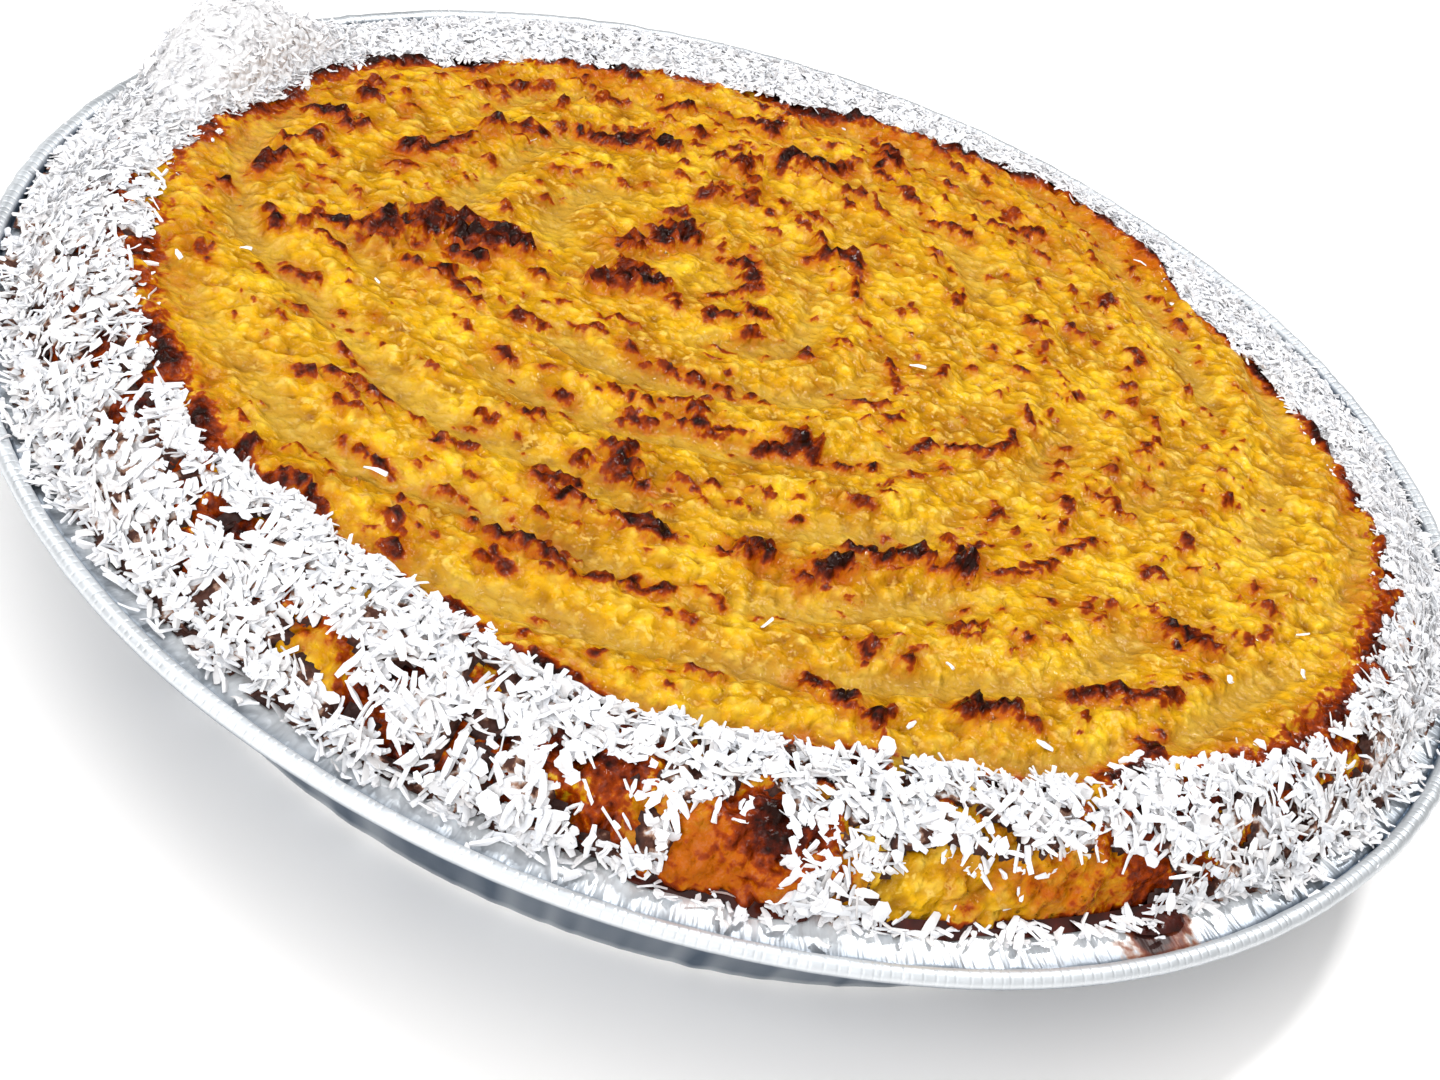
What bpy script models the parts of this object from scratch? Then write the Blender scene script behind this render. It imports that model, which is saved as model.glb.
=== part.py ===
"""A round coconut tart that stands in its foil tin, at its real size.

The tart is one baked solid with a spatula's ridges and burnt crags on its top. A band of
desiccated coconut lies over its shoulder, down its side and on the tin's flange.
The origin is the centre of the tin's base, and the tart is seen from -Y.
"""

import math
import random

import bmesh
import bpy
from mathutils import Matrix, Vector, noise

MM = 0.001
GAP = 0.3  # mm, air between pieces that touch in the real tart

# The foil tin, in mm
RIM_RADIUS = 120.0
FLANGE_HEIGHT = 27.5
FLANGE_INNER_RADIUS = 109.0
CURL_RADIUS = 1.7
BASE_RADIUS = 95.0
BASE_FILLET = 2.0
FOIL = 0.6
TIN_STEPS = 60

# The tart, in mm: its side stands above the flange and rounds over into a shoulder
TOP_HEIGHT = 39.0
DOME_RISE = 1.6
SHOULDER = ((96.0, 39.0), (101.0, 38.2), (105.3, 36.0), (108.0, 32.4), (109.4, 28.5))
FOOT = ((109.0, 28.0), (107.9, 27.9))  # the crust's underside, just clear of the flange
TOP_RINGS = (90.0, 83.0, 76.0, 68.5, 61.0, 53.0, 45.0, 36.0, 26.0, 14.0)
TART_STEPS = 84
BATTER_SWELL = 0.7  # mm, the soft unevenness of the baked top
FAR_DROP = 3.0  # mm, how much lower the tart was filled at the back
FAR_FROM, FAR_TO = -70.0, 100.0  # mm along Y, between which it slopes down

# What the spatula left on the top, in mm: x and y of each ridge's ends, its bow to the left, and its crest
RIDGES = (
    (-59, -2, -43, 4, 5.0, 3.0),
    (-65, -2, -58, -5, 0.5, 3.2),
    (-70, 12, -59, 32, 1.6, 1.7),
    (-58, 37, -23, 58, 3.0, 1.9),
    (-20, 55, 2, 65, 1.0, 1.7),
    (-87, -1, -81, 6, 2.4, 1.6),
    (-79, -25, -64, -20, 2.0, 1.8),
    (-28, 17, -15, 23, 6.0, 3.0),
    (-32, 2, -19, 9, 1.0, 3.0),
    (-16, 24, -5, 19, 2.0, 1.8),
    (-14, 1, -3, 10, 1.0, 1.4),
    (-24, -23, 1, -23, -1.0, 2.0),
    (-10, -16, 3, -13, 0.5, 1.7),
    (2, -26, 18, -20, 1.5, 2.8),
    (19, -16, 39, 5, -1.5, 2.2),
    (-23, -42, -15, -40, 1.0, 2.8),
    (-25, -58, -16, -55, 0.5, 2.4),
    (-16, -57, -4, -57, 3.0, 2.6),
    (-32, -69, -19, -71, 1.5, 3.2),
    (-17, -73, -3, -68, 0.5, 1.8),
    (3, -57, 26, -41, 1.5, 3.0),
    (26, -41, 57, -20, 0.5, 2.6),
    (15, -78, 26, -80, 4.0, 3.0),
    (38, -68, 50, -69, 1.0, 2.8),
    (54, -59, 71, -54, 1.0, 2.2),
    (66, -34, 71, -42, 1.0, 3.0),
    (35, -54, 42, -50, 0.5, 1.4),
)
RIDGE_WIDTH = 2.6
CRAG_SPACING = 6.0
CRAG_RADIUS = 2.0
CRAG_SEED = 11

# The coconut band, in mm: the heap's surface over the shoulder, from its inner edge outwards
HEAP = ((97.0, 41.9), (102.0, 41.5), (106.5, 39.5), (110.0, 36.2), (112.8, 32.2))
HEAP_THINNING = (0.7, 1.9, 1.9, 1.4, 0.5)  # mm that the coconut lies thinner at the back, point by point
HEAP_EDGE = 0.7
BAND_STEPS = 108
SECTION_POINTS = 7
HEAP_LUMPS = 0.75
LUMP_SIZE = 5.5
MOUND_RISE = 5.8  # the extra heap on the far left
MOUND_AZIMUTH = 160.0
MOUND_SPREAD = 10.0
BARE_STRETCHES = ((-86.0, -77.0), (-72.0, -47.0))  # degrees: the coconut has fallen off the side here
BARE_TOP = 37.3
BARE_RADIUS = 102.5
SHRED_COUNT = 84
SHRED_SIZE = (4.2, 1.3, 0.6)
SHRED_SEED = 5

COLOURS = {
    "foil_tin": ("#C9CDD1", 0.28, 1.0),
    "tart": ("#D79A26", 0.42, 0.0),
    "coconut": ("#F6F4EF", 0.75, 0.0),
}


def clear_scene():
    for old in list(bpy.data.objects):
        bpy.data.objects.remove(old, do_unlink=True)


def new_collection(name):
    made = bpy.data.collections.new(name)
    bpy.context.scene.collection.children.link(made)
    return made


def linear(hex_colour):
    channels = [int(hex_colour[i : i + 2], 16) / 255 for i in (1, 3, 5)]
    return [c / 12.92 if c <= 0.04045 else ((c + 0.055) / 1.055) ** 2.4 for c in channels] + [1.0]


def give_material(obj):
    colour, roughness, metallic = COLOURS[obj.name]
    made = bpy.data.materials.new(obj.name)
    made.use_nodes = True
    shader = made.node_tree.nodes["Principled BSDF"]
    shader.inputs["Base Color"].default_value = linear(colour)
    shader.inputs["Roughness"].default_value = roughness
    shader.inputs["Metallic"].default_value = metallic
    obj.data.materials.clear()
    obj.data.materials.append(made)


def turned(name, outline, steps, collection, closed=False, angle=360.0):
    """A profile of (radius, height) pairs in mm, turned about the upright axis."""
    points = [(r * MM, 0.0, z * MM) for r, z in outline]
    edges = [(i, i + 1) for i in range(len(points) - 1)]
    if closed:
        edges.append((len(points) - 1, 0))
    mesh = bpy.data.meshes.new(name)
    mesh.from_pydata(points, edges, [])
    obj = bpy.data.objects.new(name, mesh)
    collection.objects.link(obj)
    screw = obj.modifiers.new("Turn", "SCREW")
    screw.steps = screw.render_steps = steps
    screw.angle = math.radians(angle)
    screw.use_merge_vertices = True
    screw.merge_threshold = 0.00002
    return obj


def apply_modifiers(obj):
    bpy.context.view_layer.update()
    graph = bpy.context.evaluated_depsgraph_get()
    made = bpy.data.meshes.new_from_object(obj.evaluated_get(graph))
    obj.modifiers.clear()
    obj.data = made


def along(path, share):
    """The point at this share of a path of (radius, height) pairs, counted evenly from point to point."""
    place = min(max(share, 0.0), 1.0) * (len(path) - 1)
    first = min(int(place), len(path) - 2)
    part = place - first
    (r0, z0), (r1, z1) = path[first], path[first + 1]
    return r0 + (r1 - r0) * part, z0 + (z1 - z0) * part


def smooth(low, high, value):
    share = min(max((value - low) / (high - low), 0.0), 1.0)
    return share * share * (3 - 2 * share)


def settle(mesh):
    """Lowers what stands above the flange, more and more towards the back."""
    foot = FLANGE_HEIGHT + 2 * GAP
    for point in mesh.vertices:
        share = min(max((point.co.z / MM - foot) / (TOP_HEIGHT - foot), 0.0), 1.15)
        point.co.z -= FAR_DROP * share * smooth(FAR_FROM, FAR_TO, point.co.y / MM) * MM


# The tin


def tin_outline():
    """From the inside of the base, up the wall, over the flange and the curl, and back under to the base."""
    inner_wall_top = (FLANGE_INNER_RADIUS, FLANGE_HEIGHT)
    curl_centre = (RIM_RADIUS - CURL_RADIUS, FLANGE_HEIGHT - 0.2)
    curl = [
        (curl_centre[0] + CURL_RADIUS * math.cos(a), curl_centre[1] + CURL_RADIUS * math.sin(a))
        for a in (math.radians(step) for step in range(150, -211, -60))
    ]
    return [
        (0.0, FOIL),
        (BASE_RADIUS - BASE_FILLET, FOIL),
        (BASE_RADIUS + FOIL * 0.4, FOIL + BASE_FILLET * 0.6),
        inner_wall_top,
        *curl[:-1],
        (RIM_RADIUS - 2 * CURL_RADIUS, FLANGE_HEIGHT - FOIL),
        (FLANGE_INNER_RADIUS + FOIL, FLANGE_HEIGHT - FOIL),
        (BASE_RADIUS + FOIL * 1.4, BASE_FILLET * 0.6),
        (BASE_RADIUS - BASE_FILLET, 0.0),
        (0.0, 0.0),
    ]


def build_tin(collection):
    tin = turned("foil_tin", tin_outline(), TIN_STEPS, collection)
    apply_modifiers(tin)
    return tin


# The tart


def ridge_height(x, y):
    """The spatula ridges under the crags, in mm."""
    height = 0.0
    for x0, y0, x1, y1, bow, crest in RIDGES:
        dx, dy = x1 - x0, y1 - y0
        length = math.hypot(dx, dy)
        share = ((x - x0) * dx + (y - y0) * dy) / length**2
        inside = min(max(share, 0.0), 1.0)
        side = ((y - y0) * dx - (x - x0) * dy) / length - 4 * bow * inside * (1 - inside)
        beyond = (share - inside) * length
        height = max(height, 0.55 * crest * math.exp(-(side**2 + beyond**2) / (2 * RIDGE_WIDTH) ** 2))
    return height


def top_height(x, y):
    """The baked top, in mm: a slight dome, soft swells and the ridges, level under the coconut."""
    radius = math.hypot(x, y)
    swell = noise.noise(Vector((x / 17, y / 17, 3.1))) * BATTER_SWELL
    relief = ridge_height(x, y) + swell
    dome = DOME_RISE * (1 - (radius / SHOULDER[0][0]) ** 2)
    return TOP_HEIGHT + max(dome, 0.0) + relief * (1 - smooth(82.0, 88.0, radius))


def tart_outline():
    base = BASE_RADIUS - FOIL - GAP
    wall_top = FLANGE_INNER_RADIUS - FOIL - 2 * GAP
    rings = [(radius, TOP_HEIGHT) for radius in reversed(TOP_RINGS)]
    return [
        (0.0, TOP_HEIGHT),
        *rings,
        *SHOULDER,
        *FOOT,
        (wall_top, FLANGE_HEIGHT - FOIL),
        (base + GAP, FOIL + GAP + BASE_FILLET),
        (base - BASE_FILLET, FOIL + GAP),
        (0.0, FOIL + GAP),
    ]


def shape_top(mesh):
    """Moves the points of the flat top on to the baked surface."""
    for point in mesh.vertices:
        x, y, z = point.co / MM
        if z > TOP_HEIGHT - 0.01:
            point.co.z = top_height(x, y) * MM


def crag(name, place, size, turn, draw, collection):
    """A burnt lump: a small icosphere, flattened and knocked out of round."""
    ball = bmesh.new()
    bmesh.ops.create_icosphere(ball, subdivisions=1, radius=1.0)
    for point in ball.verts:
        point.co *= draw.uniform(0.78, 1.18)
    scale = Matrix.Diagonal((*[s * MM for s in size], 1.0))
    bmesh.ops.transform(ball, matrix=Matrix.Rotation(turn, 4, "Z") @ scale, verts=ball.verts)
    mesh = bpy.data.meshes.new(name)
    ball.to_mesh(mesh)
    ball.free()
    obj = bpy.data.objects.new(name, mesh)
    obj.location = [c * MM for c in place]
    collection.objects.link(obj)


def add_ridge_crags(collection, draw):
    """Lumps along each ridge, spaced evenly on its bowed line."""
    for number, (x0, y0, x1, y1, bow, crest) in enumerate(RIDGES):
        dx, dy = x1 - x0, y1 - y0
        length = math.hypot(dx, dy)
        count = max(1, round(length / CRAG_SPACING))
        for step in range(count):
            share = (step + 0.5) / count + draw.uniform(-0.1, 0.1) / count
            offset = 4 * bow * share * (1 - share)
            x = x0 + dx * share - dy / length * offset
            y = y0 + dy * share + dx / length * offset
            radius = CRAG_RADIUS * draw.uniform(0.8, 1.15) * (0.6 + 0.16 * crest)
            size = (radius * 1.35, radius * 0.8, radius * 0.3 + crest * 0.4)
            place = (x, y, top_height(x, y))
            crag(f"crag_{number}_{step}", place, size, math.atan2(dy, dx), draw, collection)


def add_side_crags(collection, draw):
    """Lumps of browned crust on the side, where it is bare of coconut."""
    for first, last in BARE_STRETCHES:
        count = round((last - first) / 5.0) - 1
        for step in range(count):
            azimuth = math.radians(first + (step + 1.0) * (last - first) / (count + 1))
            radius, height = along(SHOULDER[2:], draw.uniform(0.45, 0.7))
            place = (radius * math.cos(azimuth), radius * math.sin(azimuth), height)
            size = (draw.uniform(1.1, 1.5), draw.uniform(2.4, 3.2), draw.uniform(1.5, 2.0))
            crag(f"side_crag_{round(first)}_{step}", place, size, azimuth, draw, collection)


def combine(obj, collection, operation):
    """Joins a collection's closed pieces on to obj or cuts them out, then removes them and loose scraps."""
    boolean = obj.modifiers.new("Combine", "BOOLEAN")
    boolean.operation = operation
    boolean.operand_type = "COLLECTION"
    boolean.collection = collection
    boolean.solver = "EXACT"
    apply_modifiers(obj)
    for piece in list(collection.objects):
        bpy.data.objects.remove(piece, do_unlink=True)
    bpy.data.collections.remove(collection)
    keep_largest(obj.data)


def keep_largest(mesh):
    """Deletes every loose body of the mesh but the widest."""
    whole = bmesh.new()
    whole.from_mesh(mesh)
    unseen = set(whole.verts)
    bodies = []
    while unseen:
        front = [unseen.pop()]
        body = list(front)
        while front:
            near = [e.other_vert(v) for v in front for e in v.link_edges]
            front = [v for v in set(near) if v in unseen]
            unseen.difference_update(front)
            body += front
        bodies.append(body)
    bodies.sort(key=len)
    for body in bodies[:-1]:
        bmesh.ops.delete(whole, geom=body, context="VERTS")
    whole.to_mesh(mesh)
    whole.free()


def build_tart(collection):
    tart = turned("tart", tart_outline(), TART_STEPS, collection)
    apply_modifiers(tart)
    shape_top(tart.data)
    draw = random.Random(CRAG_SEED)
    crags = new_collection("crags")
    add_ridge_crags(crags, draw)
    add_side_crags(crags, draw)
    combine(tart, crags, "UNION")
    settle(tart.data)
    return tart


# The coconut


def inner_edge(azimuth):
    """The band's inner radius in mm: wider on the tart's left and right than in front and behind."""
    wanted = 92.6 + 4.0 * math.cos(2 * azimuth) + 1.5 * math.cos(azimuth) - 1.6 * math.sin(azimuth)
    return min(wanted, SHOULDER[0][0] - 1.0)


def outer_edge(azimuth):
    """The band's outer radius on the flange in mm, narrower towards the front right."""
    return min(114.2 - 2.2 * math.cos(azimuth + math.radians(60)), 115.8)


def is_bare(azimuth):
    degrees = math.degrees(azimuth)
    return any(first - 1.5 <= degrees <= last + 1.5 for first, last in BARE_STRETCHES)


def bed_path(azimuth):
    """What the coconut lies on, in mm: the tart's top, shoulder and side, then the flange."""
    inner = (inner_edge(azimuth), TOP_HEIGHT + DOME_RISE * 0.14 + GAP)
    raised = [(r + GAP, z + GAP) for r, z in SHOULDER]
    return [inner, *raised, (outer_edge(azimuth), FLANGE_HEIGHT + 2 * GAP)]


def heap_path(azimuth):
    """The coconut's own surface over that bed, in mm."""
    bed = bed_path(azimuth)
    away = math.degrees(abs(math.remainder(azimuth - math.radians(MOUND_AZIMUTH), math.tau)))
    rise = MOUND_RISE * math.exp(-((away / MOUND_SPREAD) ** 2))
    thin = smooth(0.1, 0.8, math.sin(azimuth)) * (1 - math.exp(-((away / (1.6 * MOUND_SPREAD)) ** 4)))
    middle = [(r, z + rise - thin * less) for (r, z), less in zip(HEAP, HEAP_THINNING)]
    first, last = bed[0], bed[-1]
    return [(first[0] + 0.4, first[1] + HEAP_EDGE), *middle, (last[0] + 0.2, last[1] + HEAP_EDGE)]


def band_point(azimuth, index):
    """The point of the band's section with this index: first along the bed, then back along the heap."""
    on_bed = index < SECTION_POINTS
    step = index if on_bed else 2 * SECTION_POINTS - 1 - index
    path = bed_path(azimuth) if on_bed else heap_path(azimuth)
    radius, height = path[step]
    place = Vector((radius * math.cos(azimuth), radius * math.sin(azimuth), height))
    if not on_bed:
        lump = noise.noise(place / LUMP_SIZE) + 0.4
        place += Vector((math.cos(azimuth), math.sin(azimuth), 1.0)) * HEAP_LUMPS * max(lump, -0.2)
    return place


def band_section():
    """The round section that is turned first; each of its points is then moved to its place in the band."""
    count = 2 * SECTION_POINTS
    return [
        (100 + 8 * math.cos(math.tau * k / count), 35 - 8 * math.sin(math.tau * k / count))
        for k in range(count)
    ]


def shape_band(mesh):
    section = band_section()
    for point in mesh.vertices:
        x, y, z = point.co / MM
        radius = math.hypot(x, y)
        misses = [math.hypot(radius - r, z - h) for r, h in section]
        point.co = band_point(math.atan2(y, x), misses.index(min(misses))) * MM


def cut_bare_stretches(coconut):
    """Takes the coconut off the tart's side where it has fallen away, leaving what lies on top."""
    cutters = new_collection("bare_stretches")
    outline = [(BARE_RADIUS, 20.0), (BARE_RADIUS, BARE_TOP), (130.0, BARE_TOP), (130.0, 20.0)]
    for first, last in BARE_STRETCHES:
        wedge = turned(f"bare_{round(first)}", outline, 6, cutters, closed=True, angle=last - first)
        apply_modifiers(wedge)
        ends = bmesh.new()
        ends.from_mesh(wedge.data)
        bmesh.ops.holes_fill(ends, edges=[edge for edge in ends.edges if edge.is_boundary], sides=0)
        bmesh.ops.recalc_face_normals(ends, faces=ends.faces)
        bmesh.ops.rotate(ends, verts=ends.verts, matrix=Matrix.Rotation(math.radians(first), 3, "Z"))
        ends.to_mesh(wedge.data)
        ends.free()
    combine(coconut, cutters, "DIFFERENCE")


def add_shreds(collection):
    """Strips of coconut that stick out of the heap, at true size."""
    draw = random.Random(SHRED_SEED)
    for number in range(SHRED_COUNT):
        azimuth = math.tau * (number + draw.uniform(0, 0.8)) / SHRED_COUNT - math.pi
        share = draw.uniform(0.1, 0.35 if is_bare(azimuth) else 0.9)
        (radius, height), (lower_radius, lower) = (
            along(heap_path(azimuth), share),
            along(heap_path(azimuth), share + 0.05),
        )
        slope = math.atan2(lower - height, lower_radius - radius)
        block = bmesh.new()
        bmesh.ops.create_cube(block, size=1.0)
        size = [s * draw.uniform(0.85, 1.15) * MM for s in SHRED_SIZE]
        turn = (
            Matrix.Rotation(azimuth, 4, "Z")
            @ Matrix.Rotation(-slope, 4, "Y")
            @ Matrix.Rotation(draw.uniform(0, math.pi), 4, "Z")
            @ Matrix.Rotation(draw.uniform(0.25, 0.6), 4, "Y")
        )
        bmesh.ops.transform(block, matrix=turn @ Matrix.Diagonal((*size, 1.0)), verts=block.verts)
        mesh = bpy.data.meshes.new(f"shred_{number}")
        block.to_mesh(mesh)
        block.free()
        shred = bpy.data.objects.new(mesh.name, mesh)
        lift = 0.7
        shred.location = (
            (radius + lift) * math.cos(azimuth) * MM,
            (radius + lift) * math.sin(azimuth) * MM,
            (height + lift) * MM,
        )
        collection.objects.link(shred)


def build_coconut(collection):
    coconut = turned("coconut", band_section(), BAND_STEPS, collection, closed=True)
    apply_modifiers(coconut)
    shape_band(coconut.data)
    cut_bare_stretches(coconut)
    shreds = new_collection("shreds")
    add_shreds(shreds)
    combine(coconut, shreds, "UNION")
    settle(coconut.data)
    return coconut


def main():
    clear_scene()
    collection = new_collection("coconut_tart")
    pieces = [build_tin(collection), build_tart(collection), build_coconut(collection)]
    for piece in pieces:
        give_material(piece)
        piece.data.shade_smooth()
        piece.data.set_sharp_from_angle(angle=math.radians(40))


main()
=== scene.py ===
"""The coconut tart in its foil tin, dressed for a soft white studio.

All shapes are worked out in millimetres in the tart's own frame (+Z up, seen from -Y, azimuth
counted from +X) and turned to metres when a mesh is made.
"""

import math
import random

import bpy
import numpy as np
from mathutils import Matrix, Vector


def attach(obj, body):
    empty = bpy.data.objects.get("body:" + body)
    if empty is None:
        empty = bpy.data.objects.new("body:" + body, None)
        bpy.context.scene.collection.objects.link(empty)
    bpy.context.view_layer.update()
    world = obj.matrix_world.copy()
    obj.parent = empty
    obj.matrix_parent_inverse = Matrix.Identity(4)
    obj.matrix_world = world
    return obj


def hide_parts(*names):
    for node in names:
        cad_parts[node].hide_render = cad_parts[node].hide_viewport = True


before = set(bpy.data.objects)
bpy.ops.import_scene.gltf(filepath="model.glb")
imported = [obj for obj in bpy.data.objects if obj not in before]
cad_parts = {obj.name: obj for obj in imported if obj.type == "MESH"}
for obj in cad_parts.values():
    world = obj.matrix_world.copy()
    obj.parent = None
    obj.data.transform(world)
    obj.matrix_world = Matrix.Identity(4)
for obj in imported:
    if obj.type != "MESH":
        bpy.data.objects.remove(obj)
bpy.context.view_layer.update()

MM = 0.001
METRE = 1000.0

# Outlines as (radius, height) in mm
TOP_OUTLINE = (
    (0.0, 40.6), (30.0, 40.45), (60.0, 40.0), (80.0, 39.5), (96.0, 39.0), (101.0, 38.2),
    (105.3, 36.0), (108.0, 32.4),
)
TART_OUTLINE = (*TOP_OUTLINE, (109.3, 28.6), (109.1, 27.7), (107.9, 27.5))
BED_OUTLINE = (*TOP_OUTLINE, (109.2, 29.4), (110.3, 28.0), (112.5, 27.7), (119.0, 27.9))
HIDDEN_WALL = ((0.0, 107.9, 27.5), (0.8, 94.4, 2.5), (1.0, 92.0, 1.0))  # share of the way down first
SLOPE_SPAN = 0.6  # mm to both sides of a place, over which an outline's slope is taken
FAR_DROP = 3.0  # mm, how much lower the tart was filled at the back
FLANGE_FROM = 115.5  # mm along the bed, where the tart's side meets the flange
FLANGE_SHIFT = 5.2  # mm, how much longer the way along the bed is than the radius out there
SINK_FROM = 28.1  # mm, the height above which the tart sinks towards the back
SINK_SPAN = 10.9  # mm from there up to where it sinks by the whole drop
TART_RADIUS = 110.0  # mm, at the tart's foot
BAND_RADIUS = 106.0  # mm, in the middle of the coconut band
FLANGE_RADIUS = 114.0  # mm, in the middle of the flange

# The baked top, sizes in mm
CUSTARD_RINGS = 156
SHOWN_SHARE = 0.965  # of the custard's sheet, the rest is the hidden wall
SHEET_INSET = 0.6
SWIRL_HEART = (-17.0, 18.0)
STROKE_SPACING = 15.6
LUMP = 2.7
FINE_LUMP = 1.75
SIDE_LUMP = 3.6
FINE_SIDE_LUMP = 1.9
SMALL_CRAGS = 980
CRAGS_WITHIN = 91.0

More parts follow.
